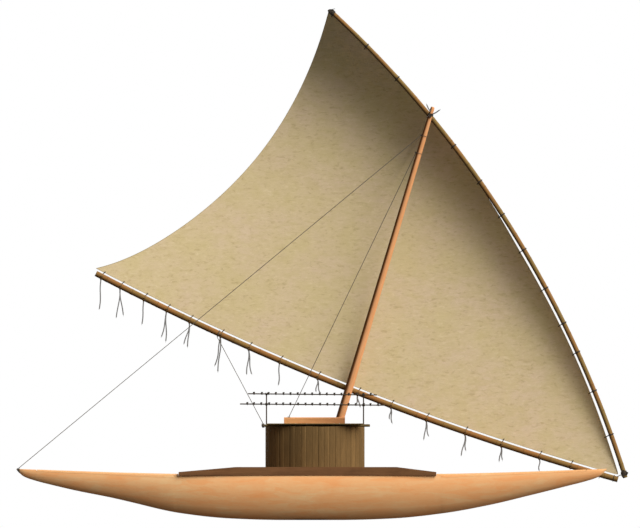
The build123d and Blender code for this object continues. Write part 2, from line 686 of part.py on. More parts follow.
def lashing(x, z, along, inward, radius, gap):
    """Rope turns round a spar with a tie across to the edge of the sail."""
    turns = band((x, RIG_Y, z), (along[0], 0, along[1]), (0, 1, 0), radius + 2 * SEAT,
                 LASHING_THICKNESS, LASHING_WIDTH)
    start = radius + LASHING_THICKNESS / 2
    end = radius + gap + LASHING_TIE / 2
    tie = rod((x + inward[0] * start, RIG_Y, z + inward[1] * start),
              (x + inward[0] * end, RIG_Y, z + inward[1] * end), LASHING_TIE / 2, sides=4)
    return (turns + tie) - sail


# Lashings of the sail to the spars
ties = []
for share in BOOM_LASHINGS:
    (x, z), along, inward = boom.spar(share)
    ties.append(lashing(x, z, along, inward, BOOM_RADIUS, FOOT_GAP))
keep("boom_lashings", Compound(ties))
ties = []
for share in YARD_LASHINGS:
    (x, z), along, inward = yard.spar(share)
    line = (x - luff_centre[0], z - luff_centre[1])
    gap = math.hypot(*line) - luff_radius - YARD_RADIUS
    ties.append(lashing(x, z, along, inward, YARD_RADIUS, gap))
keep("yard_lashings", Compound(ties))

# Tack lashing: binds the two heels
heel_share = 0.008
(ax, az), a_dir, _ = boom.spar(heel_share)
(bx, bz), b_dir, _ = yard.spar(heel_share)
boom_ring = band((ax, RIG_Y, az), (a_dir[0], 0, a_dir[1]), (0, 1, 0), BOOM_RADIUS + SEAT,
                 SEIZING_THICKNESS, SEIZING_WIDTH)
yard_ring = band((bx, RIG_Y, bz), (b_dir[0], 0, b_dir[1]), (0, 1, 0), YARD_RADIUS + SEAT,
                 SEIZING_THICKNESS, 2 * SEIZING_WIDTH)
tie = rod((ax, RIG_Y, az), (bx, RIG_Y, bz), SEIZING_WIDTH / 2)
for (x, z), way, radius in (((ax, az), a_dir, BOOM_RADIUS), ((bx, bz), b_dir, YARD_RADIUS)):
    run = 5 * SEIZING_WIDTH
    start = (x - run * way[0], RIG_Y, z - run * way[1])
    end = (x + run * way[0], RIG_Y, z + run * way[1])
    tie = tie - rod(start, end, radius + SEIZING_THICKNESS / 2)
keep("tack_lashing", boom_ring + yard_ring + tie)

# The origin goes on the ground under the middle of the whole boat
boxes = [shape.bounding_box() for shape in pieces.values()]
middle_x = (min(b.min.X for b in boxes) + max(b.max.X for b in boxes)) / 2
middle_y = (min(b.min.Y for b in boxes) + max(b.max.Y for b in boxes)) / 2
shift = Pos(-middle_x, -middle_y, 0)
for name, shape in pieces.items():
    export_step(shift * shape, os.path.join("parts", name + ".step"))
print("shift", round(-middle_x, 3), round(-middle_y, 3))
print("tack", TACK, "cross", CROSS, "rig y", RIG_Y, "swing", tuple(swing))
print("mast head", head_point, "pole z", pole_z, "step top", step_top, "roof top", roof_top)
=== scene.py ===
# %% [markdown]
# # Dressing a sailing canoe
# The CAD model gives every solid of the boat its true size and place. This lesson keeps
# those solids as a frame and gives them the finish of the real thing: two oiled dugout
# hulls, a plank deck, a hut of staves, bowed cane spars, a plaited mat sail and a lot of
# rope. Every size is in metres, in the frame of the CAD model.

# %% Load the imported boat
import math
import random

import bpy
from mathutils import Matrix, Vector


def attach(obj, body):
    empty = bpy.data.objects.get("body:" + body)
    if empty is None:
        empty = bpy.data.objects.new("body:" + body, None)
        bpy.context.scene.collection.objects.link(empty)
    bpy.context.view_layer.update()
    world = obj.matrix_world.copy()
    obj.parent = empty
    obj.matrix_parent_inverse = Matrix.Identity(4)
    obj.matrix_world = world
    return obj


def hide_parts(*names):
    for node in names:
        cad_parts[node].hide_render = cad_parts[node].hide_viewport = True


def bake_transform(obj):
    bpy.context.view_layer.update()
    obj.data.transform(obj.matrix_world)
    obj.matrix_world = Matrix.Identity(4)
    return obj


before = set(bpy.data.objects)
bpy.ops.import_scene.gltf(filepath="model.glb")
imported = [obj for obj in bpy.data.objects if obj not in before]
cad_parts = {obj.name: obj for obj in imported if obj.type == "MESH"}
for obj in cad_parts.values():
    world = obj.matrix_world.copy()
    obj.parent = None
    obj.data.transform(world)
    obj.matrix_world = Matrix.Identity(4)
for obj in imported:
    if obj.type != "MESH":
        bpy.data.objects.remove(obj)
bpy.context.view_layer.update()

# %% [markdown]
# ## The camera
# The boat is seen square from its windward side with no perspective at all: the far
# ends are drawn to the same scale as the near ones. So the camera is orthographic, level,
# and its width is the photograph's width in metres.

# %% Camera
VIEW_WIDTH = 19.52
VIEW_MIDDLE_X, VIEW_MIDDLE_Z = -0.0672, 7.808
CAMERA_AWAY, CAMERA_SIGHT = 60, 400


def add_object(name, data):
    """Puts a camera, lamp, mesh or curve into the scene."""
    made = bpy.data.objects.new(name, data)
    bpy.context.scene.collection.objects.link(made)
    return made


lens = bpy.data.cameras.new("side_view")
lens.type = "ORTHO"
lens.ortho_scale = VIEW_WIDTH
lens.clip_end = CAMERA_SIGHT
camera = add_object("side_view", lens)
camera.location = (VIEW_MIDDLE_X, -CAMERA_AWAY, VIEW_MIDDLE_Z)
camera.rotation_euler = (math.radians(90), 0, 0)
bpy.context.scene.camera = camera
bpy.context.scene.view_settings.view_transform = "Standard"
print("camera width", VIEW_WIDTH)

# %% [markdown]
# ## Small helpers for shader nodes
# A material in Blender is a graph. Adding a node, setting its values and linking its
# sockets takes three calls, so one helper does all three. A value that is itself a socket
# is linked; anything else is set. The other helpers are the few kinds of node that most
# finishes need, each with a short name.

# %% Node helpers
def node(tree, kind, feeds=None, **settings):
    """Adds a shader node with its settings, and sets or links its inputs."""
    made = tree.nodes.new("ShaderNode" + kind)
    for key, value in settings.items():
        setattr(made, key, value)
    for key, value in (feeds or {}).items():
        if isinstance(value, bpy.types.NodeSocket):
            tree.links.new(value, made.inputs[key])
        else:
            made.inputs[key].default_value = value
    return made


def calc(tree, way, a, b=0.0):
    """One step of arithmetic."""
    return node(tree, "Math", {0: a, 1: b}, operation=way).outputs[0]


def times(tree, a, b):
    """One value times another."""
    return calc(tree, "MULTIPLY", a, b)


def vector(tree, way, a, b):
    """One step of arithmetic with places. The way SCALE takes a plain value as its second."""
    second = "Scale" if way == "SCALE" else 1
    return node(tree, "VectorMath", {0: a, second: b}, operation=way).outputs[0]


def blend_colour(tree, share, a, b, way="MIX"):
    """One colour laid over another."""
    mixed = node(tree, "Mix", {0: share, 6: a, 7: b}, data_type="RGBA", blend_type=way)
    return mixed.outputs[2]


def tint(tree, colour, mask, share, over):
    """A second colour laid over the first where a mask is high, at a share of full strength."""
    return blend_colour(tree, times(tree, mask, share), colour, over)


def spread(tree, value, low, high, to_low=0.0, to_high=1.0):
    """Stretches a range of values to another one, and cuts off what lies outside."""
    feeds = {0: value, 1: low, 2: high, 3: to_low, 4: to_high}
    return node(tree, "MapRange", feeds, clamp=True).outputs[0]


def noise(tree, place, scale, detail, roughness=0.5, distortion=0.0):
    """Soft random values over the surface."""
    feeds = {"Vector": place, "Scale": scale, "Detail": detail, "Roughness": roughness,
             "Distortion": distortion}
    return node(tree, "TexNoise", feeds).outputs[0]


def stretched(tree, place, *scale):
    """Places scaled by an own value along each axis."""
    return node(tree, "Mapping", {"Vector": place, "Scale": scale}).outputs[0]


def apart(tree, place):
    """The three values of a place."""
    return node(tree, "SeparateXYZ", {0: place}).outputs


print("node helpers ready")

# %% [markdown]
# An effect that several finishes share is a node group with named inputs and outputs. Two
# helpers open and close one.

# %% Group helpers
def shader_group(name, takes, gives):
    """A new node group with named inputs and outputs."""
    tree = bpy.data.node_groups.new(name, "ShaderNodeTree")
    for label, kind, value in takes:
        socket = tree.interface.new_socket(label, in_out="INPUT", socket_type="NodeSocket" + kind)
        if value is not None:
            socket.default_value = value
    for label, kind in gives:
        tree.interface.new_socket(label, in_out="OUTPUT", socket_type="NodeSocket" + kind)
    return tree, tree.nodes.new("NodeGroupInput").outputs


def close_group(tree, **results):
    """Links the results to the outputs of the same names."""
    gives = tree.nodes.new("NodeGroupOutput").inputs
    for label, value in results.items():
        tree.links.new(value, gives[label])
    print(tree.name + ":", len(tree.nodes), "nodes")
    return tree


print("group helpers ready")

# %% [markdown]
# ## Light, background and floor
# One large soft sun from the bow side, a little above and in front, models the round
# hulls and the swell of the sail. The sky only fills the shadows. The camera sees plain
# white: the world tells camera, mirror and glass rays from the rest with Light Path. The
# floor is pale to the camera, so it shows the shadow, and darker to all other rays, so
# that it throws little light up under the hulls.

# %% Light and world
SUN_FROM = Vector((0.65, -0.46, 0.61))
SUN_POWER, SUN_WIDTH = 4.3, math.radians(56)
SKY_COLOUR, SKY_POWER = (0.93, 0.97, 1.0, 1), 0.16
WHITE = (1, 1, 1, 1)
lamp = bpy.data.lights.new("soft_sun", "SUN")
lamp.energy = SUN_POWER
lamp.angle = SUN_WIDTH
sun = add_object("soft_sun", lamp)
sun.rotation_euler = SUN_FROM.to_track_quat("Z", "Y").to_euler()


def shade_by_ray(tree, shader, rest, shown, end):
    """One shader for camera, mirror and glass rays, and another for all the rest."""
    tree.nodes.clear()
    path = node(tree, "LightPath").outputs
    direct = calc(tree, "MAXIMUM", path["Is Camera Ray"], path["Is Glossy Ray"])
    direct = calc(tree, "MAXIMUM", direct, path["Is Transmission Ray"])
    dim = node(tree, shader, rest).outputs[0]
    pale = node(tree, shader, shown).outputs[0]
    either = node(tree, "MixShader", {0: direct, 1: dim, 2: pale})
    node(tree, end, {0: either.outputs[0]})


world = bpy.data.worlds.new("studio")
world.use_nodes = True
shade_by_ray(world.node_tree, "Background", {"Color": SKY_COLOUR, "Strength": SKY_POWER},
             {"Color": WHITE, "Strength": 1.0}, "OutputWorld")
bpy.context.scene.world = world
print("sun from", tuple(round(v, 2) for v in SUN_FROM.normalized()))

# %% Floor
FLOOR_REACH, FLOOR_DROP = 90, 0.002
FLOOR_DIM, FLOOR_PALE = (0.10, 0.10, 0.10, 1), (0.92, 0.92, 0.92, 1)
floor_paint = bpy.data.materials.new("floor_paint")
floor_paint.use_nodes = True
shade_by_ray(floor_paint.node_tree, "BsdfDiffuse", {"Color": FLOOR_DIM}, {"Color": FLOOR_PALE},
             "OutputMaterial")
floor_mesh = bpy.data.meshes.new("floor")
corners = [(x * FLOOR_REACH, y * FLOOR_REACH, 0) for x, y in ((-1, -1), (1, -1), (1, 1), (-1, 1))]
floor_mesh.from_pydata(corners, [], [(0, 1, 2, 3)])
floor_mesh.materials.append(floor_paint)
floor = add_object("floor", floor_mesh)
floor.location = (0, 0, -FLOOR_DROP)
print("floor ready")

# %% [markdown]
# ## Shared effects
# Wood, rope and matting share a few effects, so each effect is a node group with its own
# named inputs. Timber grain is noise stretched along the grain: broad streaks for colour,
# flame lines where the streaks' values repeat, and fine fibres for the bump. Every plank
# shifts the pattern by its own tone, so no two planks carry the same grain.

# %% Timber grain
PLANK_SHIFT = (31.0, 17.0, 23.0)
FLAME_LINES = 44.0
tree, takes = shader_group(
    "timber_grain",
    [("Place", "Vector", None), ("Pale", "Color", None), ("Dark", "Color", None),
     ("Streaks", "Float", 6.0), ("Stretch", "Float", 8.0), ("Tone", "Float", 0.5),
     ("Variety", "Float", 0.25)],
    [("Colour", "Color"), ("Roughness", "Float"), ("Height", "Float")],
)
moved = vector(tree, "ADD", takes["Place"], vector(tree, "SCALE", PLANK_SHIFT, takes["Tone"]))
long_way = calc(tree, "DIVIDE", takes["Streaks"], takes["Stretch"])
scale = node(tree, "CombineXYZ", {0: long_way, 1: takes["Streaks"], 2: takes["Streaks"]})
grain_at = vector(tree, "MULTIPLY", moved, scale.outputs[0])
broad = noise(tree, grain_at, 1.0, 5.0, 0.55, 0.5)
fine = noise(tree, grain_at, 9.0, 3.0, 0.6, 0.2)
flame = spread(tree, calc(tree, "SINE", times(tree, broad, FLAME_LINES)), -1.0, 1.0)
mixed = times(tree, spread(tree, broad, 0.3, 0.7), 0.62)
mixed = calc(tree, "ADD", mixed, times(tree, flame, 0.18))
mixed = calc(tree, "ADD", mixed, times(tree, spread(tree, fine, 0.3, 0.7), 0.20))
dyed = blend_colour(tree, mixed, takes["Dark"], takes["Pale"])
lift = times(tree, calc(tree, "SUBTRACT", takes["Tone"], 0.5), takes["Variety"])
timber_grain = close_group(
    tree,
    Colour=vector(tree, "SCALE", dyed, calc(tree, "ADD", lift, 1.0)),
    Roughness=spread(tree, fine, 0.25, 0.75, 0.74, 0.5),
    Height=calc(tree, "ADD", times(tree, fine, 0.7), times(tree, flame, 0.3)),
)

# %% [markdown]
# Weathering is the slow change on top of any material: wide patches where sun and spray
# bleached or stained it, small specks of dirt, and pale wear along the edges. The edge
# value comes from the geometry, so it is fed in by the material.

# %% Weathering
SPECKS = 38.0
tree, takes = shader_group(
    "weathering",
    [("Place", "Vector", None), ("Size", "Float", 1.2), ("Edge", "Float", 0.5)],
    [("Patches", "Float"), ("Specks", "Float"), ("Wear", "Float")],
)
patch = noise(tree, takes["Place"], calc(tree, "DIVIDE", 1.0, takes["Size"]), 4.0, 0.6, 0.8)
weathering = close_group(
    tree,
    Patches=spread(tree, patch, 0.35, 0.68),
    Specks=spread(tree, noise(tree, takes["Place"], SPECKS, 2.0), 0.62, 0.74),
    Wear=times(tree, spread(tree, takes["Edge"], 0.51, 0.60), spread(tree, patch, 0.3, 0.6)),
)

# %% [markdown]
# Painted shade: a side that looks down or away from the sun is painted darker, as if it lay
# in shade. How far a face looks that way is the dot product of its own normal with one
# direction of the piece, so the painted shade stays on the piece when it moves.

# %% Painted shade side
tree, takes = shader_group(
    "painted_shade_side",
    [("Normal", "Vector", None), ("Way", "Vector", None), ("From", "Float", 0.2),
     ("To", "Float", 0.6)],
    [("Mask", "Float")],
)
facing = node(tree, "VectorMath", {0: takes["Normal"], 1: takes["Way"]}, operation="DOT_PRODUCT")
mask = spread(tree, facing.outputs["Value"], takes["From"], takes["To"])
painted_shade_side = close_group(tree, Mask=mask)

# %% [markdown]
# Rope is three strands laid round each other. A tube that carries its run in metres and
# its turn round the tube as UV is enough: the strands are the repeats of turn plus run
# over pitch, high in their middle and low in the groove between two strands.

# %% Rope lay
YARNS_ROUND, YARNS_ALONG = 9.0, 60.0
tree, takes = shader_group(
    "rope_lay",
    [("Run and turn", "Vector", None), ("Strands", "Float", 3.0), ("Pitch", "Float", 0.12)],
    [("Groove", "Float"), ("Fuzz", "Float"), ("Height", "Float")],
)
run, turn = apart(tree, takes["Run and turn"])[:2]
twist = calc(tree, "DIVIDE", run, takes["Pitch"])
lay = calc(tree, "ADD", times(tree, turn, takes["Strands"]), twist)
swell = calc(tree, "SINE", times(tree, calc(tree, "FRACT", lay), math.pi))
yarn_at = node(tree, "CombineXYZ", {0: times(tree, lay, YARNS_ROUND), 1: times(tree, run, YARNS_ALONG)})
fuzz = noise(tree, yarn_at.outputs[0], 1.0, 3.0)
rope_lay = close_group(
    tree,
    Groove=spread(tree, swell, 0.0, 0.55, 1.0, 0.0),
    Fuzz=fuzz,
    Height=calc(tree, "ADD", calc(tree, "POWER", swell, 0.6), times(tree, fuzz, 0.25)),
)

# %% [markdown]
# ## Wood finishes
# The hulls, mast and mast step are bright oiled wood, the deck is dark and worn, and the
# hut's staves are darker and greener still. They are one recipe with other colours: grain
# along the piece, weathering over it, and roughness and bump from the same grain. The
# recipe turns the grain with a Mapping node, because grain runs along X in the group and
# upwards in a stave. Painted shade is laid on last, where a piece has it: on the side that
# looks one way, or darker towards one end.

# %% Wood recipe
ALONG_X = (0, 0, 0)
UPWARDS = (0, math.radians(90), 0)
ACROSS = (0, 0, math.radians(90))


def linear(red, green, blue):
    """A colour written as 0 to 255, as the renderer's linear values."""
    values = []
    for part in (red, green, blue):
        share = part / 255
        values.append(share / 12.92 if share <= 0.04045 else ((share + 0.055) / 1.055) ** 2.4)
    return (*values, 1.0)


def use(tree, group, **feeds):
    """Places a shared effect in a material. An underscore in a name stands for a space."""
    named = {key.replace("_", " "): value for key, value in feeds.items()}
    return node(tree, "Group", named, node_tree=group).outputs


def start_finish(name):
    """A new material: its tree, its main shader and where points lie on the piece."""
    finish = bpy.data.materials.new(name)
    finish.use_nodes = True
    tree = finish.node_tree
    tree.nodes.clear()
    shader = node(tree, "BsdfPrincipled")
    node(tree, "OutputMaterial", {0: shader.outputs[0]})
    return finish, tree, shader, node(tree, "TexCoord").outputs


def close_finish(tree, shader, colour, roughness, gloss, height, strength, depth):
    """Feeds the main shader its colour, roughness, gloss and bump."""
    bump = node(tree, "Bump", {"Height": height, "Strength": strength, "Distance": depth})
    tree.links.new(colour, shader.inputs["Base Color"])
    tree.links.new(roughness, shader.inputs["Roughness"])
    tree.links.new(bump.outputs[0], shader.inputs["Normal"])
    shader.inputs["Specular IOR Level"].default_value = gloss


def paint_side_shade(tree, where, colour, way, start, full, shade_colour):
    """Paints shade on the side of the piece that looks one way."""
    side = use(tree, painted_shade_side, Normal=where["Normal"], Way=way, From=start, To=full)
    return blend_colour(tree, side["Mask"], colour, shade_colour)


def wood_finish(name, pale, dark, streaks, stretch, grain, variety, gloss, by_uv=False,
                patch_colour=None, patch_share=0.35, patch_size=1.2, shade_side=None, end_shade=None):
    """Timber with its grain turned to run along the piece."""
    finish, tree, shader, where = start_finish(name)
    pale, dark = linear(*pale), linear(*dark)
    place = where["UV"] if by_uv else where["Object"]
    turned = node(tree, "Mapping", {"Vector": place, "Rotation": grain}).outputs[0]
    facts = node(tree, "NewGeometry").outputs
    wood = use(tree, timber_grain, Place=turned, Pale=pale, Dark=dark, Streaks=streaks,
               Stretch=stretch, Tone=facts["Random Per Island"], Variety=variety)
    worn = use(tree, weathering, Place=place, Size=patch_size, Edge=facts["Pointiness"])
    patches = linear(*patch_colour) if patch_colour else dark
    colour = tint(tree, wood["Colour"], worn["Patches"], patch_share, patches)
    colour = tint(tree, colour, worn["Wear"], 0.5, pale)
    colour = tint(tree, colour, worn["Specks"], 0.25, dark)
    # Painted shade on the side of the piece that looks one way.
    if shade_side:
        way, start, full, shade_colour = shade_side
        colour = paint_side_shade(tree, where, colour, way, start, full, linear(*shade_colour))
    # Painted shade that grows along X towards one end; the oiled mask carries only this shade.
    if end_shade:
        start, full, shade_colour = end_shade
        oiled = spread(tree, apart(tree, where["Object"])[0], start, full)
        colour = blend_colour(tree, oiled, colour, linear(*shade_colour))
    close_finish(tree, shader, colour, wood["Roughness"], gloss, wood["Height"], 0.5, 0.004)
    return finish


print("wood recipe ready")

# %% Bright woods
# The hull's faces that look down and the mast's stern side are painted darker, as painted shade.
hull_finish = wood_finish("oiled_hull_wood", (255, 212, 154), (255, 174, 107), 5.0, 7.0, ALONG_X, 0.0, 0.1,
                          patch_colour=(255, 168, 100), patch_share=0.45,
                          shade_side=((0, 0, -1), 0.5, 0.86, (158, 96, 54)))
mast_finish = wood_finish("oiled_mast_wood", (238, 176, 124), (214, 146, 94), 14.0, 9.0, ALONG_X, 0.0, 0.05,
                          by_uv=True, patch_colour=(222, 140, 74),
                          shade_side=((-1, 0, 0), 0.12, 0.5, (104, 66, 36)))
# The step is painted darker towards its bow end, where the mast stands, as painted shade.
step_finish = wood_finish("oiled_step_wood", (255, 190, 126), (232, 152, 92), 9.0, 7.0, ALONG_X, 0.1, 0.1,
                          patch_colour=(200, 122, 66), end_shade=(-0.8, 1.3, (160, 100, 62)))
print("bright woods ready")

# %% Dark woods
deck_finish = wood_finish("dark_deck_wood", (136, 94, 60), (88, 58, 35), 16.0, 12.0, ALONG_X, 0.4, 0.05,
                          patch_colour=(118, 84, 58))
beam_finish = wood_finish("dark_beam_wood", (120, 86, 54), (78, 54, 32), 14.0, 12.0, ACROSS, 0.4, 0.05)
stave_finish = wood_finish("hut_stave_wood", (132, 102, 62), (98, 76, 46), 26.0, 14.0, UPWARDS, 0.35, 0.03,
                           patch_colour=(112, 88, 56))
pole_finish = wood_finish("roof_pole_wood", (126, 104, 66), (72, 58, 36), 24.0, 6.0, ALONG_X, 0.4, 0.05,
                          patch_colour=(104, 96, 58), patch_size=0.3)
slat_finish = wood_finish("roof_slat_wood", (126, 104, 64), (68, 54, 32), 22.0, 14.0, ACROSS, 0.6, 0.02,
                          patch_colour=(92, 78, 50))
rail_finish = wood_finish("dark_rail_wood", (92, 78, 62), (48, 40, 32), 40.0, 14.0, ALONG_X, 0.3, 0.05,
                          by_uv=True)
print("wood finishes:", len(bpy.data.materials))

# %% [markdown]
# ## Cane, rope and matting finishes
# The spars are long canes, olive and red-brown by turns from joint to joint, with a dark
# line at each joint. The UV along the spar is in metres, so a band is a step of that
# value, softened with noise.

# %% Cane finishes
JOINT_SPACING = 0.86
SHADED_UNDERSIDE = (-0.6, 0, -0.8)
RED_CAST, OLIVE_CAST = (0.97, 0.80, 0.66, 1), (0.82, 0.86, 0.72, 1)


def cane_finish(name, pale, dark, shade_colour):
    """Cane that turns from red to olive and back, with a dark line at each joint and painted shade on its
    lower side.
    """
    finish, tree, shader, where = start_finish(name)
    run = apart(tree, where["UV"])[0]
    wobble = times(tree, noise(tree, where["UV"], 0.9, 2.0), 0.5)
    wave = times(tree, calc(tree, "ADD", run, wobble), math.pi / JOINT_SPACING)
    wood = use(tree, timber_grain, Place=where["UV"], Pale=linear(*pale), Dark=linear(*dark),
               Streaks=30.0, Stretch=20.0, Tone=0.5, Variety=0.0)
    edge = node(tree, "NewGeometry").outputs["Pointiness"]
    worn = use(tree, weathering, Place=where["Object"], Size=0.8, Edge=edge)
    red = blend_colour(tree, 1.0, wood["Colour"], RED_CAST, "MULTIPLY")
    olive = blend_colour(tree, 1.0, wood["Colour"], OLIVE_CAST, "MULTIPLY")
    colour = blend_colour(tree, spread(tree, calc(tree, "SINE", wave), -0.7, 0.7), red, olive)
    spacing = calc(tree, "FRACT", calc(tree, "DIVIDE", run, JOINT_SPACING))
    from_joint = calc(tree, "ABSOLUTE", calc(tree, "SUBTRACT", spacing, 0.5))
    joint_line = spread(tree, from_joint, 0.0, 0.012, 1.0, 0.0)
    colour = tint(tree, colour, joint_line, 0.7, linear(70, 48, 26))
    colour = tint(tree, colour, worn["Patches"], 0.3, linear(*dark))
    # Painted shade on the spar's lower side.
    colour = paint_side_shade(tree, where, colour, SHADED_UNDERSIDE, 0.2, 0.7, linear(*shade_colour))
    relief = calc(tree, "SUBTRACT", wood["Height"], times(tree, joint_line, 1.5))
    close_finish(tree, shader, colour, wood["Roughness"], 0.05, relief, 0.5, 0.003)
    return finish


# The last colour of each is the painted shade on the spar's lower side.
boom_finish = cane_finish("boom_cane_skin", (174, 131, 81), (132, 99, 58), (90, 62, 32))
yard_finish = cane_finish("yard_cane_skin", (172, 136, 86), (124, 98, 60), (76, 54, 30))
print("cane joints every", JOINT_SPACING, "m")

# %% [markdown]
# The rigging is weathered grey fibre. Stays are thicker and paler, and the small lashings
# are darker because they hold the wet. One recipe takes the two colours, the pitch of the
# strands and how much shade is painted into the grooves between them.

# %% Rope finishes
GROOVE_SHADE = (0.02, 0.018, 0.015, 1)


def rope_finish(name, pale, dark, pitch, depth):
    """Three-strand rope, with shade painted into its grooves."""
    finish, tree, shader, where = start_finish(name)
    pale, dark = linear(*pale), linear(*dark)
    lay = use(tree, rope_lay, Run_and_turn=where["UV"], Strands=3.0, Pitch=pitch)
    worn = use(tree, weathering, Place=where["Object"], Size=0.6, Edge=0.5)
    colour = blend_colour(tree, lay["Fuzz"], dark, pale)
    colour = tint(tree, colour, worn["Patches"], 0.4, dark)
    # Painted shade in the grooves between the strands.
    colour = tint(tree, colour, lay["Groove"], depth, GROOVE_SHADE)
    roughness = spread(tree, lay["Fuzz"], 0.2, 0.8, 0.95, 0.75)
    close_finish(tree, shader, colour, roughness, 0.15, lay["Height"], 0.8, 0.004)
    return finish


stay_finish = rope_finish("stay_rope", (128, 118, 102), (86, 78, 68), 0.07, 0.4)
lashing_finish = rope_finish("lashing_rope", (92, 82, 70), (50, 42, 34), 0.06, 0.6)
sennit_finish = rope_finish("boom_sennit", (172, 134, 86), (128, 98, 61), 0.06, 0.2)
tail_finish = rope_finish("lashing_tails", (162, 159, 155), (122, 119, 115), 0.06, 0.25)
edge_finish = rope_finish("sail_edge_rope", (206, 184, 140), (160, 142, 104), 0.07, 0.35)
print("rope finishes ready")

# %% [markdown]
# The sail is plaited matting. From far away it shows wide patches that lean to pink or to
# olive, and many short dark flecks that lie level. Close up it is a plait of flat strips.
# Flecks are noise stretched sideways and cut off high; the plait is two sets of stripes,
# each on top of the other by turns, as a checker of the two.

# %% Matting colours
matting_finish, tree, shader, where = start_finish("sail_matting")
mat_at = where["Object"]
fleck = noise(tree, stretched(tree, mat_at, 5.4, 1.0, 13.5), 1.0, 3.0, 0.58, 0.7)
thread = noise(tree, stretched(tree, mat_at, 8.0, 2.0, 30.0), 1.0, 2.0)
patch = noise(tree, mat_at, 0.75, 4.0, 0.6)
cloud = noise(tree, stretched(tree, mat_at, 2.4, 1.0, 5.5), 1.0, 4.0, 0.62)
base = blend_colour(tree, spread(tree, patch, 0.34, 0.66), linear(215, 194, 146), linear(219, 194, 160))
base = tint(tree, base, spread(tree, cloud, 0.42, 0.66), 0.5, linear(205, 184, 133))
base = tint(tree, base, spread(tree, thread, 0.3, 0.7), 0.28, linear(196, 174, 126))
base = tint(tree, base, spread(tree, fleck, 0.56, 0.72), 0.45, linear(172, 146, 100))
base = tint(tree, base, spread(tree, fleck, 0.42, 0.28), 0.3, linear(236, 216, 176))
print("matting colours:", len(tree.nodes), "nodes")

# %% Plait
STRIP = 0.022
parts = apart(tree, stretched(tree, mat_at, 1 / STRIP, 1.0, 1 / STRIP))
level, plumb = (calc(tree, "ABSOLUTE", calc(tree, "SINE", times(tree, parts[axis], math.pi)))
                for axis in (2, 0))
turn = calc(tree, "ADD", calc(tree, "FLOOR", parts[0]), calc(tree, "FLOOR", parts[2]))
over = calc(tree, "GREATER_THAN", calc(tree, "FRACT", times(tree, turn, 0.5)), 0.25)
strip = node(tree, "Mix", {0: over, 2: level, 3: plumb}, data_type="FLOAT").outputs[0]
# Painted shade in the gaps between the strips of the plait.
base = tint(tree, base, spread(tree, strip, 0.0, 0.35, 1.0, 0.0), 0.25, linear(120, 100, 66))
relief = calc(tree, "ADD", times(tree, strip, 0.8), cloud)
close_finish(tree, shader, base, spread(tree, fleck, 0.3, 0.7, 0.72, 0.9), 0.15, relief, 0.35, 0.006)
print("plait strips", STRIP, "m wide")

# %% [markdown]
# ## A stock of faces
# Most pieces here are poles and ropes: tubes along a path. The stock gathers points and
# faces, gives every tube its run in metres and its turn as UV, and makes one mesh of all
# of them. A frame that is carried along the path without twisting keeps tubes round in
# their bends.

# %% Stock
class Stock:
    """Points, faces and UVs gathered for one piece."""

    def __init__(self):
        self.points = []
        self.faces = []
        self.uvs = []

    def face(self, corners, uvs=None):
        """One face, by the numbers of its points."""
        self.faces.append(corners)
        self.uvs.append(uvs or [(self.points[c][0], self.points[c][2]) for c in corners])

    def rings(self, loops, steps=None):
        """Closed loops of points, joined from each to the next, with both ends closed."""
        first = len(self.points)
        count = len(loops[0])
        if steps is None:
            steps = [(Vector(b[0]) - Vector(a[0])).length for a, b in zip(loops, loops[1:])]
        for loop in loops:
            self.points.extend(Vector(p) for p in loop)
        run = 0.0
        for i, step in enumerate(steps):
            a = first + i * count
            b = a + count
            for s in range(count):
                t = (s + 1) % count
                near, far = s / count, (s + 1) / count
                self.face((a + s, a + t, b + t, b + s),
                          [(run, near), (run, far), (run + step, far), (run + step, near)])
            run += step
        self.face(tuple(first + s for s in reversed(range(count))))
        self.face(tuple(first + (len(loops) - 1) * count + s for s in range(count)))

    def tube(self, path, radius, sides=10):
        """A round tube along a path. The radius may be a function of the share of the path."""
        path = [Vector(p) for p in path]
        last = len(path) - 1
        across = (path[1] - path[0]).orthogonal().normalized()
        loops, steps = [], []
        for i, p in enumerate(path):
            ahead = (path[min(i + 1, last)] - path[max(i - 1, 0)]).normalized()
            across = (across - ahead * across.dot(ahead)).normalized()
            up = ahead.cross(across)
            size = radius(i / last) if callable(radius) else radius
            turns = [2 * math.pi * s / sides for s in range(sides)]
            loops.append([p + (across * math.cos(t) + up * math.sin(t)) * size for t in turns])
            if i:
                steps.append((p - path[i - 1]).length)
        self.rings(loops, steps)

    def piece(self, name, finish, slot, body, stands_for=None, sharp=35):
        """The gathered faces as one piece that rides on a body, perhaps in place of a CAD solid."""
        mesh = bpy.data.meshes.new(name)
        mesh.from_pydata([tuple(p) for p in self.points], [], self.faces)
        layer = mesh.uv_layers.new(name="run_and_turn")
        flat = [value for uvs in self.uvs for uv in uvs for value in uv]
        layer.data.foreach_set("uv", flat)
        mesh.validate()
        mesh.materials.append(finish)
        mesh.shade_smooth()
        mesh.set_sharp_from_angle(angle=math.radians(sharp))
        made = add_object(name, mesh)
        if body:
            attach(made, body)
        if stands_for:
            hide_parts(stands_for)
        print(name, len(mesh.polygons), "faces")
        return made


BOAT_SHIFT = -0.326421


def spot(x, y, z):
    """A point of the boat, measured from the middle of the hulls."""
    return Vector((x + BOAT_SHIFT, y, z))


print("stock ready")

# %% [markdown]
# ## The hulls
# Each hull is one tree trunk hollowed out and closed by a cover at each end. In CAD it is
# flat strakes between ten stations. Here the same stations are joined by a smooth curve,
# and each section by true arcs, so the light runs over it without breaks. The covers are
# their own pieces and stand a few millimetres proud, as a lid does.

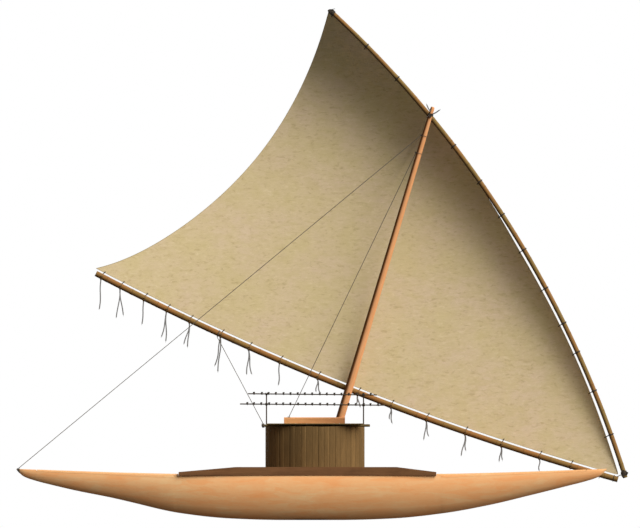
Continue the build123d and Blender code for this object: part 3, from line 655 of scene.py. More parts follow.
# %% Hull form
HALF_LENGTH = 9.0
DEPTH = 1.357
STATIONS = (
    (0.000, -0.006, 1.035), (0.140, 0.003, 1.035), (0.280, 0.036, 1.034), (0.440, 0.145, 1.036),
    (0.600, 0.333, 1.058), (0.740, 0.554, 1.086), (0.860, 0.753, 1.115), (0.940, 0.892, 1.135),
    (0.975, 0.978, 1.143), (1.000, 1.128, 1.152),
)
MIDSHIP = 1.041 * DEPTH
HULL_BEAM, HULL_Y = 1.01, 1.55
CROWN = 0.047
KEEL_HALF = 0.085
BILGE = (HULL_BEAM / 2 * 0.87, MIDSHIP * 0.36)


def smooth_run(column, share):
    """The stations' heights, joined by a curve that never overshoots them."""
    xs = [row[0] for row in STATIONS]
    ys = [row[column] for row in STATIONS]
    slopes = [(ys[i + 1] - ys[i]) / (xs[i + 1] - xs[i]) for i in range(len(xs) - 1)]
    tilt = [0.0]
    for a, b in zip(slopes, slopes[1:]):
        tilt.append(0.0 if a * b <= 0 else 2 * a * b / (a + b))
    tilt.append(slopes[-1])
    i = min(max(k for k in range(len(xs)) if xs[k] <= share), len(xs) - 2)
    width = xs[i + 1] - xs[i]
    t = (share - xs[i]) / width
    return (ys[i] * (1 + 2 * t) * (1 - t) ** 2 + tilt[i] * width * t * (1 - t) ** 2
            + ys[i + 1] * t * t * (3 - 2 * t) + tilt[i + 1] * width * t * t * (t - 1))


def arc_through(a, b, c):
    """The centre and radius of the circle through three points."""
    d = 2 * (a[0] * (b[1] - c[1]) + b[0] * (c[1] - a[1]) + c[0] * (a[1] - b[1]))
    squares = [p[0] ** 2 + p[1] ** 2 for p in (a, b, c)]
    x = (squares[0] * (b[1] - c[1]) + squares[1] * (c[1] - a[1]) + squares[2] * (a[1] - b[1])) / d
    z = (squares[0] * (c[0] - b[0]) + squares[1] * (a[0] - c[0]) + squares[2] * (b[0] - a[0])) / d
    return (x, z), math.hypot(a[0] - x, a[1] - z)


gunwale = (HULL_BEAM / 2, MIDSHIP - CROWN)
side_centre, side_radius = arc_through((KEEL_HALF, 0.0), BILGE, gunwale)
side_low = math.atan2(-side_centre[1], KEEL_HALF - side_centre[0])
side_high = math.atan2(gunwale[1] - side_centre[1], gunwale[0] - side_centre[0])


def side_at(share):
    """A point of the midship side, from keel to gunwale."""
    turn = side_low + (side_high - side_low) * share
    return side_centre[0] + side_radius * math.cos(turn), side_centre[1] + side_radius * math.sin(turn)


def side_share(height):
    """The share of the side's arc at a height of the midship section."""
    low, high = 0.0, 1.0
    for _ in range(40):
        middle = (low + high) / 2
        if side_at(middle)[1] < height:
            low = middle
        else:
            high = middle
    return low


print("side arc radius", round(side_radius, 3))

# %% Hull rings
SIDE_STEPS = 20
TOP_STEPS = 8
SEAT_STERN, SEAT_BOW = -4.203, 3.956
DECK_STERN, DECK_BOW = -4.053, 3.806
COVER_PROUD = 0.004
STERN_LIFT, LIFT_AT, LIFT_REACH = 0.055, 0.64, 0.13
TIP, TIP_GAP = 0.93 * HALF_LENGTH, 0.02
NOSE_START = 0.997 * HALF_LENGTH
NOSE = ((0.9992 * HALF_LENGTH, 0.8), (HALF_LENGTH, 0.35))
SEAT_EDGE = 0.0005
LID_DROP, TIP_RISE, TIP_DROP = 0.07, 1.132, 0.056
UNCUT_LOW, UNCUT_HIGH = -1, 9


def lid_line(x):
    """The height of the joint between a hull and its cover."""
    end = SEAT_BOW if x > 0 else SEAT_STERN
    tip = math.copysign(TIP, x)
    share = (x - end) / (tip - end)
    return (DEPTH - LID_DROP) + share * (DEPTH * TIP_RISE - TIP_DROP - DEPTH + LID_DROP)


def section(x, y, low_cut=UNCUT_LOW, high_cut=UNCUT_HIGH, proud=0.0, shrink=1.0):
    """A loop round the hull at x, between two heights where it is cut level."""
    share = min(abs(x) / HALF_LENGTH, 1.0)
    keel, ridge = smooth_run(1, share) * DEPTH, smooth_run(2, share) * DEPTH
    if x < 0:
        keel += STERN_LIFT * DEPTH * math.exp(-((share - LIFT_AT) / LIFT_REACH) ** 2)
    size = (ridge - keel) / MIDSHIP
    middle = keel + 0.88 * (ridge - keel)
    first = side_share((low_cut - keel) / size) if low_cut > keel else 0.0
    last = side_share((high_cut - keel) / size)
    right = []
    for step in range(SIDE_STEPS + 1):
        across, up = side_at(first + (last - first) * step / SIDE_STEPS)
        right.append((across * size + proud, max(keel + up * size, 0.0)))
    edge, edge_z = right[-1]
    rise = min(ridge, high_cut) - edge_z
    top = []
    for step in range(1, TOP_STEPS):
        turn = 1 - 2 * step / TOP_STEPS
        top.append((edge * turn, edge_z + (rise + proud) * (1 - turn * turn)))
    loop = right + top + [(-a, z) for a, z in reversed(right)]
    return [spot(x, y + a * shrink, middle + (z - middle) * shrink) for a, z in loop]


def even(start, end, count):
    """Values at even steps, both ends included."""
    return [start + (end - start) * i / count for i in range(count + 1)]


def hull_piece(name, y):
    """The dugout itself, up to its seat for the deck and the joints of its covers."""
    runs = [(x, UNCUT_HIGH) for x in even(-NOSE_START, -TIP - TIP_GAP, 16)]
    runs += [(x, lid_line(x)) for x in even(-TIP, SEAT_STERN, 34)]
    runs += [(x, DEPTH) for x in even(SEAT_STERN + SEAT_EDGE, SEAT_BOW - SEAT_EDGE, 60)]
    runs += [(x, lid_line(x)) for x in even(SEAT_BOW, TIP, 34)]
    runs += [(x, UNCUT_HIGH) for x in even(TIP + TIP_GAP, NOSE_START, 16)]
    loops = [section(-x, y, shrink=size) for x, size in reversed(NOSE)]
    loops += [section(x, y, high_cut=cut) for x, cut in runs]
    loops += [section(x, y, shrink=size) for x, size in NOSE]
    stock = Stock()
    stock.rings(loops)
    stock.piece(name + "_hull_skin", hull_finish, "hull_wood", "hull", name + "_hull", 40)


def cover_piece(name, y, tip, seat, deck):
    """The lid over one end of a hull, with a tongue on the hull's flat up to the deck."""
    step = math.copysign(SEAT_EDGE, deck - seat)
    loops = [section(x, y, lid_line(x), proud=COVER_PROUD) for x in even(tip, seat, 40)]
    for x in even(seat + step, deck - step * 8, 6):
        loops.append(section(x, y, DEPTH - 0.002, proud=COVER_PROUD))
    stock = Stock()
    stock.rings(loops if deck > seat else loops[::-1])
    stock.piece(name + "_skin", hull_finish, "hull_wood", "hull", name, 40)


for name, y in (("near", -HULL_Y), ("far", HULL_Y)):
    hull_piece(name, y)
    cover_piece(name + "_bow_cover", y, TIP, SEAT_BOW, DECK_BOW)
    cover_piece(name + "_stern_cover", y, -TIP, SEAT_STERN, DECK_STERN)

# %% [markdown]
# ## Deck, beams, roof and step: CAD solids with worn edges
# Sawn boards are what they look like: straight solids. Their CAD shapes stay. A Bevel
# modifier breaks the sharp edges, as wear does, and the wood finish does the rest. No
# vertex of the CAD mesh changes, because a modifier only acts when the scene is drawn.

# %% Boards
def dress(name, finish, wear):
    """Gives a CAD solid its finish and worn edges."""
    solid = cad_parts[name]
    for place in solid.material_slots:
        place.material = finish
    edge = solid.modifiers.new("worn_edge", "BEVEL")
    edge.width = wear
    edge.segments = 2
    edge.limit_method = "ANGLE"
    edge.angle_limit = math.radians(40)


BOARDS = (
    ("deck_planks", deck_finish, 0.006), ("stern_ramp_planks", deck_finish, 0.006),
    ("bow_ramp_planks", deck_finish, 0.006), ("near_side_board", deck_finish, 0.006),
    ("far_side_board", deck_finish, 0.006), ("crossbeams", beam_finish, 0.008),
    ("roof_slats", slat_finish, 0.006), ("mast_step", step_finish, 0.008),
    ("bow_pegs", pole_finish, 0.006), ("upper_hoop", beam_finish, 0.004),
    ("lower_hoop", beam_finish, 0.004),
)
for name, finish, wear in BOARDS:
    dress(name, finish, wear)
print(len(BOARDS), "boards dressed")

# %% [markdown]
# ## The hut
# The wall is a ring of split staves. A CAD stave is a box; a real one has a rounded outer
# face, broken edges and a top that was never cut quite level. Each stave here is a small
# grid lofted upwards: its section has ten points, and every stave gets its own height and
# roundness from a fixed seed. Its tone comes from the finish, which gives every separate
# part of a mesh its own. They stand where the CAD staves stand.

# %% Staves
HUT_X, HUT_HALF_X, HUT_HALF_Y = 0.107, 1.492, 1.102
DECK_TOP, WALL_TOP = 1.616, 2.838
STAVE_COUNT, STAVE_THICKNESS = 46, 0.036
STAVE_LAP, STAVE_EDGE = 0.0015, 0.004
DOOR_WIDTH, DOOR_HEIGHT = 0.76, 1.01
ROOF_POLE_Y, POLE_Z, POLE_RADIUS = 0.70, 2.8803, 0.042
OVAL_STEPS = 1440
chance = random.Random(11)


def oval(angle):
    """A point of the wall's middle line and the outward direction there."""
    nx, ny = math.cos(angle) / HUT_HALF_X, math.sin(angle) / HUT_HALF_Y
    size = math.hypot(nx, ny)
    return (HUT_HALF_X * math.cos(angle), HUT_HALF_Y * math.sin(angle)), (nx / size, ny / size)


def oval_step(index):
    """The point and the outward direction at a step round the wall."""
    return oval(2 * math.pi * index / OVAL_STEPS)


lengths = [0.0]
for index in range(OVAL_STEPS):
    (x0, y0), (x1, y1) = oval_step(index)[0], oval_step(index + 1)[0]
    lengths.append(lengths[-1] + math.hypot(x1 - x0, y1 - y0))
stave_pitch = lengths[-1] / STAVE_COUNT
print("staves", round(stave_pitch, 4), "m apart")

# %% Stave wall
half, thick = stave_pitch / 2 + STAVE_LAP, STAVE_THICKNESS / 2
back = [(-half, -thick + 0.003), (-half + STAVE_EDGE, -thick), (half - STAVE_EDGE, -thick),
        (half, -thick + 0.003)]
stock = Stock()
for index in range(STAVE_COUNT):
    goal = (index + 0.5) * stave_pitch
    place = next(i for i in range(OVAL_STEPS) if lengths[i + 1] >= goal)
    (x, y), (nx, ny) = oval_step(place + 0.5)
    bottom = DECK_TOP + (DOOR_HEIGHT if y > 0 and abs(x) < DOOR_WIDTH / 2 else 0.0)
    under_pole = abs(abs(y) - ROOF_POLE_Y) < POLE_RADIUS + abs(nx) * half + abs(ny) * thick
    top = WALL_TOP + (0.016 if under_pole else chance.uniform(0.008, 0.026))
    crest = thick - 0.002 + chance.uniform(0.004, 0.007) * 0.4
    front = [(half, thick - 0.012), (half * 0.88, thick - 0.002), (half * 0.4, crest)]
    outline = back + front + [(-a, d) for a, d in reversed(front)]
    levels = [(z, 1.0) for z in (bottom, bottom + 0.3, (bottom + top) / 2, top - 0.006)]
    loops = []
    for z, pull in levels + [(top, 0.94)]:
        loops.append([spot(HUT_X + x + nx * d - ny * a * pull, y + ny * d + nx * a * pull, z)
                      for a, d in outline])
    stock.rings(loops)
stock.piece("stave_wall", stave_finish, "hut_wood", "hull", "hut_staves", 40)

# %% [markdown]
# ## Rope work
# A lashing is rope laid turn beside turn round a pole. Its path is a coil, so a tube along
# a coil is the lashing itself, with the rope's own lay on it. A knot is the same tube
# along a trefoil, which is the path of a plain overhand knot.

# %% Turns and knots
TURN_STEPS, KNOT_STEPS = 20, 40


def wind(stock, centre, along, radius, rope, count, sides=10):
    """Rope laid round a pole, turn beside turn."""
    along = Vector(along).normalized()
    across = Vector((0, 1, 0)) if abs(along.y) < 0.9 else Vector((1, 0, 0))
    across = (across - along * across.dot(along)).normalized()
    up = along.cross(across)
    path = []
    steps = TURN_STEPS * count
    for i in range(steps + 1):
        turn = 2 * math.pi * i / TURN_STEPS
        move = (i / steps - 0.5) * (count - 1) * rope
        path.append(Vector(centre) + along * move
                    + (across * math.cos(turn) + up * math.sin(turn)) * (radius + rope / 2))
    stock.tube(path, rope / 2, sides)


def tie_knot(stock, centre, facing, size, thick, sides=6):
    """An overhand knot, drawn tight."""
    look = Vector(facing).to_track_quat("Z", "Y").to_matrix()
    path = []
    for i in range(KNOT_STEPS + 1):
        t = 2 * math.pi * i / KNOT_STEPS
        x = (math.sin(t) + 2 * math.sin(2 * t)) / 3
        y = (math.cos(t) - 2 * math.cos(2 * t)) / 3
        z = -math.sin(3 * t) / 2
        path.append(Vector(centre) + look @ Vector((x, y, z)) * size)
    stock.tube(path, thick, sides)


def straight(start, end, count):
    """Points along a straight run."""
    start, end = Vector(start), Vector(end)
    return [start.lerp(end, i / count) for i in range(count + 1)]


print("rope paths ready")

# %% [markdown]
# ## Rails on the roof
# Two thin rails stand on posts along the windward edge of the roof, with a bound knot every
# hand's width on top. Each rail is a pole that was never quite straight, and each knot is
# four turns of cord and a tight overhand knot over them.

# %% Rails
POST_RADIUS, RAIL_RADIUS = 0.020, 0.019
UPPER_RAIL_Z, LOWER_RAIL_Z = 3.832, 3.520
RAIL_Y = -ROOF_POLE_Y - (POST_RADIUS + RAIL_RADIUS) * math.cos(math.pi / 8) - 0.0003
KNOT_PITCH, KNOT_STRAY = 0.222, 0.012
RAIL_DROP = 0.038
POST_XS = (-1.373, 1.586)


def rail_piece(name, stern, bow, z):
    """A rail that falls a little to the bow, its row of bound knots and its two lashings."""
    fall = RAIL_DROP / (bow - stern)
    middle = (stern + bow) / 2

    def at(x):
        return spot(x, RAIL_Y, z - fall * (x - middle))

    stock = Stock()
    stock.tube([at(x) for x in even(stern, bow, 40)],
               lambda share: RAIL_RADIUS * (0.96 + 0.04 * math.sin(19 * share)), 14)
    stock.piece(name + "_bar", rail_finish, "rail_wood", "hull", name)
    cords = Stock()
    count = int((bow - stern) / KNOT_PITCH)
    first = middle - KNOT_PITCH * (count - 1) / 2
    for index in range(count):
        centre = at(first + index * KNOT_PITCH + chance.uniform(-KNOT_STRAY, KNOT_STRAY))
        wind(cords, centre, (1, 0, 0), RAIL_RADIUS, 0.012, 4, 6)
        tie_knot(cords, centre + Vector((0, 0, RAIL_RADIUS + 0.020)), (0, 0, 1), 0.026, 0.011)
    for x in POST_XS:
        centre = at(x) + Vector((0, POST_RADIUS, 0))
        for lean_way in ((1, 0, 1), (1, 0, -1)):
            wind(cords, centre, lean_way, POST_RADIUS + RAIL_RADIUS, 0.011, 3, 6)
    cords.piece(name + "_knots", lashing_finish, "rope", "hull")


rail_piece("upper_rail", -1.937, 1.998, UPPER_RAIL_Z)
rail_piece("lower_rail", -2.181, 2.242, LOWER_RAIL_Z)
stock = Stock()
for x in POST_XS:
    foot = spot(x, -ROOF_POLE_Y, POLE_Z + POLE_RADIUS)
    head = spot(x, -ROOF_POLE_Y, UPPER_RAIL_Z + RAIL_RADIUS)
    stock.tube(straight(foot, head, 12), lambda share: POST_RADIUS * (1.0 - 0.08 * share), 14)
stock.piece("rail_post_pair", rail_finish, "rail_wood", "hull", "rail_posts")

# %% [markdown]
# The two poles under the roof are cut saplings: never quite straight, with a knob where a
# branch was. Each is a tube whose middle line and radius wander a few millimetres, and no
# more than the CAD pole's own radius.

# %% Roof poles
POLE_STERN, POLE_BOW, POLE_STEPS = -1.525, 1.784, 90


def sapling(name, y, seed):
    """A roof pole that wanders a little and has knobs."""
    own = random.Random(seed)
    knobs = [own.uniform(-1.4, 1.7) for _ in range(9)]
    path = even(POLE_STERN, POLE_BOW, POLE_STEPS)

    def size(share):
        x = path[round(share * POLE_STEPS)]
        knob = max(math.exp(-((x - k) / 0.05) ** 2) for k in knobs)
        end = 0.8 if share in (0.0, 1.0) else 1.0
        return POLE_RADIUS * (0.86 + 0.05 * math.sin(7 * x + seed) + 0.09 * knob) * end

    stock = Stock()
    stock.tube([spot(x, y, POLE_Z + 0.003 * math.sin(4.1 * x + seed)) for x in path], size, 16)
    stock.piece(name + "_sapling", pole_finish, "hut_wood", "hull", name, 50)


sapling("near_roof_pole", -ROOF_POLE_Y, 3)
sapling("far_roof_pole", ROOF_POLE_Y, 8)

# %% [markdown]
# A split lath is tied along the ends of the roof slats on both sides. It keeps them in
# line, and closes the gaps between them when the roof is seen from the side.

# %% Roof laths
ROOF_EDGE_Y, SLAT_Z = 1.03, 2.928
LATH_RADIUS = 0.017
LATH_STERN, LATH_BOW = -1.372, 1.586
LATH_Y = ROOF_EDGE_Y + LATH_RADIUS - 0.003
laths = Stock()
for side in (-1, 1):
    path = [spot(x, side * LATH_Y, SLAT_Z + 0.002 * math.sin(5 * x))
            for x in even(LATH_STERN, LATH_BOW, 60)]
    laths.tube(path, lambda share: LATH_RADIUS * (0.94 + 0.06 * math.sin(40 * share)))
laths.piece("roof_laths", pole_finish, "hut_wood", "hull", sharp=50)

# %% [markdown]
# ## The mast
# A straight pole, thicker at its foot, leaning towards the bow over its step. The CAD mast
# has twenty flats; here it is round, with a worn round head, and its UV runs along it so
# that the grain follows the lean.

# %% Mast
ROOF_TOP = 2.9466
STEP_TOP = ROOF_TOP + 0.186
MAST_X, MAST_RAKE = 0.880, math.radians(16.6)
MAST_FOOT, MAST_HEAD = 0.128, 0.078
CROSS = (3.616774, 12.312926)
lean = Vector((math.sin(MAST_RAKE), 0, math.cos(MAST_RAKE)))
heel_drop = 0.095 - MAST_FOOT * math.tan(MAST_RAKE)
HEAD_ABOVE = 0.300
mast_run = math.hypot(CROSS[0] - MAST_X, CROSS[1] - STEP_TOP) + heel_drop + HEAD_ABOVE
HEAD_ROUND = ((0.04, 1.0), (0.01, 0.9), (0.001, 0.72), (-1.0, 0.5))
HEAD_SLIM, SLIM_FROM, SLIM_RUN = 0.2, 1.2, 1.0


def mast_at(run):
    """A point of the mast's axis and its radius there."""
    radius = MAST_FOOT + (MAST_HEAD - MAST_FOOT) * run / mast_run
    return spot(MAST_X, 0, STEP_TOP) + lean * (run - heel_drop), radius


stock = Stock()
path, sizes = [], []
for run in even(0, mast_run - 0.05, 48) + [mast_run - 0.02, mast_run - 0.006, mast_run]:
    point, radius = mast_at(run)
    path.append(point)
    left = mast_run - run
    slim = 1 - HEAD_SLIM * min(max((SLIM_FROM - left) / SLIM_RUN, 0.0), 1.0)
    sizes.append(radius * slim * next(size for reach, size in HEAD_ROUND if left > reach))
stock.tube(path, lambda share: sizes[round(share * (len(sizes) - 1))], 36)
stock.piece("mast_pole", mast_finish, "hull_wood", "hull", "mast", 50)

# %% [markdown]
# ## The spars
# Yard and boom are canes bowed by the pull of the sail. Each follows one arc. Cane swells
# a little at its joints, so the radius of the tube rises where the finish has its dark
# line, and the ends are cut square with a small round.

# %% Spar arcs
RIG_Y = 0.245
YARD_RADIUS, BOOM_RADIUS = 0.075, 0.092
YARD_TAPER, TAPER_START = 0.14, 0.72
CANE_STEPS, CANE_END = 400, 0.0004
JOINT_SWELLING, JOINT_REACH = 0.05, 0.035


class Bow:
    """An even arc in the plane of the rig, by its heel, chord, angle and depth."""

    def __init__(self, heel, chord, angle, depth):
        turn = math.radians(angle)
        self.radius = (chord ** 2 / 4 + depth ** 2) / (2 * abs(depth))
        self.side = math.copysign(1, depth)
        self.half = math.asin(chord / 2 / self.radius)
        self.turn = turn
        reach = self.side * (abs(depth) - self.radius)
        self.centre = (heel[0] + chord / 2 * math.cos(turn) + math.sin(turn) * reach,
                       heel[1] + chord / 2 * math.sin(turn) - math.cos(turn) * reach)

    def at(self, share, offset=0.0):
        """The point at a share of the arc, offset outward on its bowed side."""
        swing = self.turn - self.side * math.pi / 2 + self.side * self.half * (2 * share - 1)
        reach = self.radius + offset
        return self.centre[0] + reach * math.cos(swing), self.centre[1] + reach * math.sin(swing)

    def along(self, share):
        """The direction of the arc at a share, from heel to end."""
        swing = self.turn + self.side * self.half * (2 * share - 1)
        return Vector((math.cos(swing), 0, math.sin(swing)))

    def inward(self, share):
        """The direction from the spar to the sail."""
        along = self.along(share)
        return Vector((-self.side * along.z, 0, self.side * along.x))

    def place(self, share, offset=0.0):
        """The point at a share of the arc as a place on the boat."""
        x, z = self.at(share, offset)
        return spot(x, RIG_Y, z)


yard = Bow((HALF_LENGTH + 0.574, 1.290), 16.820, 122.25, 1.105)
boom = Bow((HALF_LENGTH + 0.345, 1.235), 17.118, 158.46, -0.448)
print("yard and boom radii", round(yard.radius, 2), round(boom.radius, 2))

# %% Canes
def yard_radius(share):
    """The yard is slimmer towards its peak."""
    return YARD_RADIUS * (1 - YARD_TAPER * max(0.0, (share - TAPER_START) / (1 - TAPER_START)))


def cane(name, bow, radius_at, finish):
    """A bowed cane with a swelling at each joint."""
    length = 2 * bow.half * bow.radius
    shares = [0.0, CANE_END] + even(0.0, 1.0, CANE_STEPS)[1:-1] + [1 - CANE_END, 1.0]

    def size(share):
        at = shares[round(share * (len(shares) - 1))]
        joint = abs((at * length / JOINT_SPACING) % 1 - 0.5) * JOINT_SPACING
        swelling = JOINT_SWELLING * math.exp(-(joint / JOINT_REACH) ** 2)
        return radius_at(at) * (0.95 + swelling) * (0.9 if at in (0.0, 1.0) else 1.0)

    stock = Stock()
    stock.tube([bow.place(share) for share in shares], size, 24)
    stock.piece(name + "_cane", finish, "spar_wood", "rig", name, 50)


cane("yard", yard, yard_radius, yard_finish)
cane("boom", boom, lambda share: BOOM_RADIUS, boom_finish)

# %% [markdown]
# ## The sail
# The mat hangs between the two spars and swells to leeward, deepest nearer the yard, and
# its free edge is a deep hollow. It is a sheet, so one layer of faces is enough, but a
# fine one: each point is on a line from luff to foot, moved in by the hollow and out by
# the swell. The swell rises quickly behind the yard and eases towards the boom.

# %% Sail edges
LEECH_HOLLOW, CLEW_HOLLOW = 1.373, 1.89
SWELL_TACK, SWELL_LEECH = 1.15, 1.58
REACH_TACK, REACH_LEECH = 0.088, 0.130
EASE_TACK, EASE_LEECH = 0.074, 0.050
LUFF_GAP_PEAK, LUFF_GAP_MIDDLE, LUFF_GAP_TACK, FOOT_GAP = 0.022, 0.056, 0.105, 0.052
LUFF_SPRING, SPRING_AT, SPRING_REACH = 0.028, 0.2, 0.16
SAIL_START = 0.004
FOOT_START, FOOT_RUN = 0.004, 0.9996
LUFF_START, LUFF_MIDDLE, LUFF_RUN = 0.011, 0.55, 0.992
TUCK_START, TUCK_RUN, TUCK_OUT, TUCK_BACK = 0.42, 0.2, 0.014, 0.084
STROP_SHARE, STROP_NOTCH = 0.735, 0.0036
luff_tack = yard.at(LUFF_START, -YARD_RADIUS - LUFF_GAP_TACK)
luff_mid = yard.at(LUFF_MIDDLE, -YARD_RADIUS - LUFF_GAP_MIDDLE)
luff_peak = yard.at(LUFF_START + LUFF_RUN, -YARD_RADIUS - LUFF_GAP_PEAK)
luff_centre, luff_radius = arc_through(luff_tack, luff_mid, luff_peak)
luff_a, luff_b = (math.atan2(end[1] - luff_centre[1], end[0] - luff_centre[0])
                  for end in (luff_tack, luff_peak))
print("luff radius", round(luff_radius, 2))

# %% [markdown]
# The swell is a steep climb behind the luff that bends over into a long fall to the boom.
# The logarithm rounds the bend. In the upper half the mat's edge is drawn in behind the
# yard, so no gap shows there.

# %% Sail form
def swell_at(along, across):
    """The depth of the swell as a share of the line from luff to foot."""
    steep = SWELL_TACK + (SWELL_LEECH - SWELL_TACK) * along ** 2
    reach = REACH_TACK + (REACH_LEECH - REACH_TACK) * along ** 2
    ease = EASE_TACK + (EASE_LEECH - EASE_TACK) * along

    def climb(t):
        over = math.log(1 + math.exp((t - reach) / ease))
        return t - ease * (over - math.log(1 + math.exp(-reach / ease)))

    return steep * (climb(across) - across * climb(1.0))


def tuck_at(along):
    """How far the edge is drawn in behind the yard, from 0 to 1, with a notch at the strop."""
    rise = min(max((along - TUCK_START) / TUCK_RUN, 0.0), 1.0)
    notch = 1 - math.exp(-((along - STROP_SHARE) / STROP_NOTCH) ** 4)
    return rise * rise * (3 - 2 * rise) * notch


def sail_point(along, across):
    """A point of the sail: along from tack to leech, across from luff to foot."""
    turn = luff_a + (luff_b - luff_a) * along
    tuck = tuck_at(along)
    up = (along - LUFF_MIDDLE) / (1 - LUFF_MIDDLE)
    gap = LUFF_GAP_MIDDLE + (LUFF_GAP_PEAK - LUFF_GAP_MIDDLE) * up
    spring = LUFF_SPRING * math.exp(-((along - SPRING_AT) / SPRING_REACH) ** 2)
    reach = luff_radius + tuck * (gap + TUCK_OUT) + spring
    a = Vector((luff_centre[0] + reach * math.cos(turn), luff_centre[1] + reach * math.sin(turn)))
    b = Vector(boom.at(FOOT_START + FOOT_RUN * along, -BOOM_RADIUS - FOOT_GAP))
    chord = b - a
    inward = Vector((-chord.y, chord.x)).normalized()
    hollow = LEECH_HOLLOW * 4 * across * (1 - across) + CLEW_HOLLOW * across ** 8 * (1 - across)
    flat = a + chord * across + inward * hollow * along ** 2
    behind = tuck * TUCK_BACK * (1 - across) ** 6
    return spot(flat.x, RIG_Y + behind + chord.length * swell_at(along, across), flat.y)


def sail_span(along):
    """The straight distance from luff to foot."""
    return (sail_point(along, 0.0) - sail_point(along, 1.0)).length


print("leech", round(sail_span(1.0), 2), "m from peak to clew")

# %% Sail sheet
ALONG_STEPS, ACROSS_STEPS = 240, 120
tack_corner = spot(9.345, RIG_Y, 1.398)
stock = Stock()
for along in even(SAIL_START, 1.0, ALONG_STEPS):
    stock.points.extend(sail_point(along, across) for across in even(0.0, 1.0, ACROSS_STEPS))
row = ACROSS_STEPS + 1
stock.points.append(tack_corner)
for j in range(ACROSS_STEPS):
    stock.face((len(stock.points) - 1, j + 1, j))
for i in range(ALONG_STEPS):
    for j in range(ACROSS_STEPS):
        a = i * row + j
        stock.face((a, a + 1, a + row + 1, a + row))
sail = stock.piece("mat_sail", matting_finish, "sail_mat", "rig", "sail", 180)

# %% [markdown]
# A rope is sewn along each edge of the mat, so that it can't tear there. It follows the
# edge of the sheet itself, and rides on the rig with it.

# %% Edge ropes
EDGE_ROPE = 0.007
stock = Stock()
for across in (0.0, 1.0):
    edge = [sail_point(along, across) for along in even(SAIL_START, 1.0, ALONG_STEPS)]
    stock.tube([tack_corner] + edge, EDGE_ROPE, 8)
stock.tube([sail_point(1.0, across) for across in even(0.0, 1.0, ACROSS_STEPS)], EDGE_ROPE, 8)
edges = stock.piece("sail_edge_ropes", edge_finish, "rope", "rig")

# %% [markdown]
# ## Lashings of the sail
# At each lashing the rope takes three turns round the spar, crosses the gap to an eye in
# the mat as two strands, one in front and one behind, and is knotted on the spar's
# windward side.

# %% Sail lashings
LASHING_ROPE, TIE_ROPE = 0.016, 0.027
BOOM_EYE, YARD_EYE = 0.03, 0.045
TO_VIEWER = Vector((0, -1, 0))
BOOM_LASHINGS = (0.087, 0.145, 0.216, 0.284, 0.357, 0.424, 0.487, 0.564, 0.637, 0.697,
                 0.752, 0.813, 0.858, 0.903, 0.95, 0.988)
YARD_LASHINGS = (0.0815, 0.1655, 0.241, 0.2985, 0.369, 0.4485, 0.522, 0.594, 0.673,
                 0.831, 0.911, 0.994)


def lash(stock, ties, bow, share, radius, eye):
    """Turns round the spar, a tie on each side of the mat to its eye, and a knot."""
    centre = bow.place(share)
    inward = bow.inward(share)
    wind(stock, centre, bow.along(share), radius, LASHING_ROPE, 3, 8)
    for side in (-1, 1):
        off = Vector((0, side * (TIE_ROPE * 0.7 + 0.006), 0))
        start = centre + inward * (radius + 0.002) + off
        path = [start, start.lerp(eye + off, 0.5), eye + off * 0.9, eye + inward * 0.012]
        ties.tube(path, TIE_ROPE / 2, 8)
    front = centre + TO_VIEWER * (radius + LASHING_ROPE) + inward * 0.01
    tie_knot(stock, front, TO_VIEWER, 0.026, 0.009)


stock, ties = Stock(), Stock()
for share in BOOM_LASHINGS:
    along = (share - FOOT_START) / FOOT_RUN
    eye = sail_point(along, 1.0 - BOOM_EYE / sail_span(along))
    lash(stock, ties, boom, share, BOOM_RADIUS, eye)
stock.piece("boom_lashing_ropes", sennit_finish, "rope", "rig", "boom_lashings")
ties.piece("boom_tie_ropes", lashing_finish, "rope", "rig")

# %% [markdown]
# The yard's lashings are one piece with the big knot at its end, where the rope's last
# turns are tied off and a short stub stands out.

# %% Yard lashings
PEAK_ROPE, PEAK_SHARE = 0.022, 0.9975
stock = Stock()
for share in YARD_LASHINGS:
    along = (share - LUFF_START) / LUFF_RUN
    eye = sail_point(along, YARD_EYE / sail_span(along))
    lash(stock, stock, yard, share, yard_radius(share), eye)
peak, peak_way = yard.place(1.0), yard.along(1.0)
wind(stock, yard.place(PEAK_SHARE), peak_way, yard_radius(1.0), PEAK_ROPE, 5)
for reach, drop in ((0.02, 0.0), (0.045, -0.03), (-0.02, 0.03)):
    middle = peak + peak_way * reach + Vector((-0.01, -0.075, drop))
    tie_knot(stock, middle, TO_VIEWER, 0.052, 0.016)
stub = peak + Vector((0.02, -0.09, 0.05))
stock.tube([stub, stub + Vector((0.045, 0, 0.02)), stub + Vector((0.1, 0, 0.025))], 0.008, 6)
stock.piece("yard_lashing_ropes", lashing_finish, "rope", "rig", "yard_lashings")

# %% [markdown]
# ## Rope ends
# From most boom lashings one or two rope ends hang down, cut and left bare. They are free
# cords, so each is one smooth curve of its own length, starting where it leaves the lashing.
# A wave of a few centimetres keeps the memory of the knot. A few loose yarns at each end
# make the fray.

# %% Hanging ends
TAIL_ROPE = 0.036
TAILS = (
    ((0.34, 0.00),), ((0.42, -0.06), (0.39, 0.04)), ((0.62, -0.105), (0.47, 0.03)),
    ((0.55, -0.07), (0.45, 0.07)), ((0.31, -0.04), (0.45, 0.04)), ((0.26, -0.04), (0.35, 0.07)),
    ((0.36, -0.04), (0.42, 0.08)), ((0.65, -0.04),), ((0.73, -0.055), (0.73, 0.095)),
    ((0.85, -0.17), (1.04, -0.07)), ((0.64, -0.155), (0.73, -0.05)), ((0.75, -0.15), (0.89, -0.025)),
    ((0.71, -0.055),), ((0.86, -0.11), (0.79, 0.095)), ((0.91, -0.055),),
)
TAIL_SINK, TAIL_SIDE, TAIL_APART = 0.012, 0.012, 0.034
SWAY_LEAST, SWAY_MOST = 0.012, 0.026
YARN_COUNT, YARN_RADIUS, YARN_LEAST, YARN_MOST = 6, 0.0035, 0.03, 0.06
tail_chance = random.Random(5)


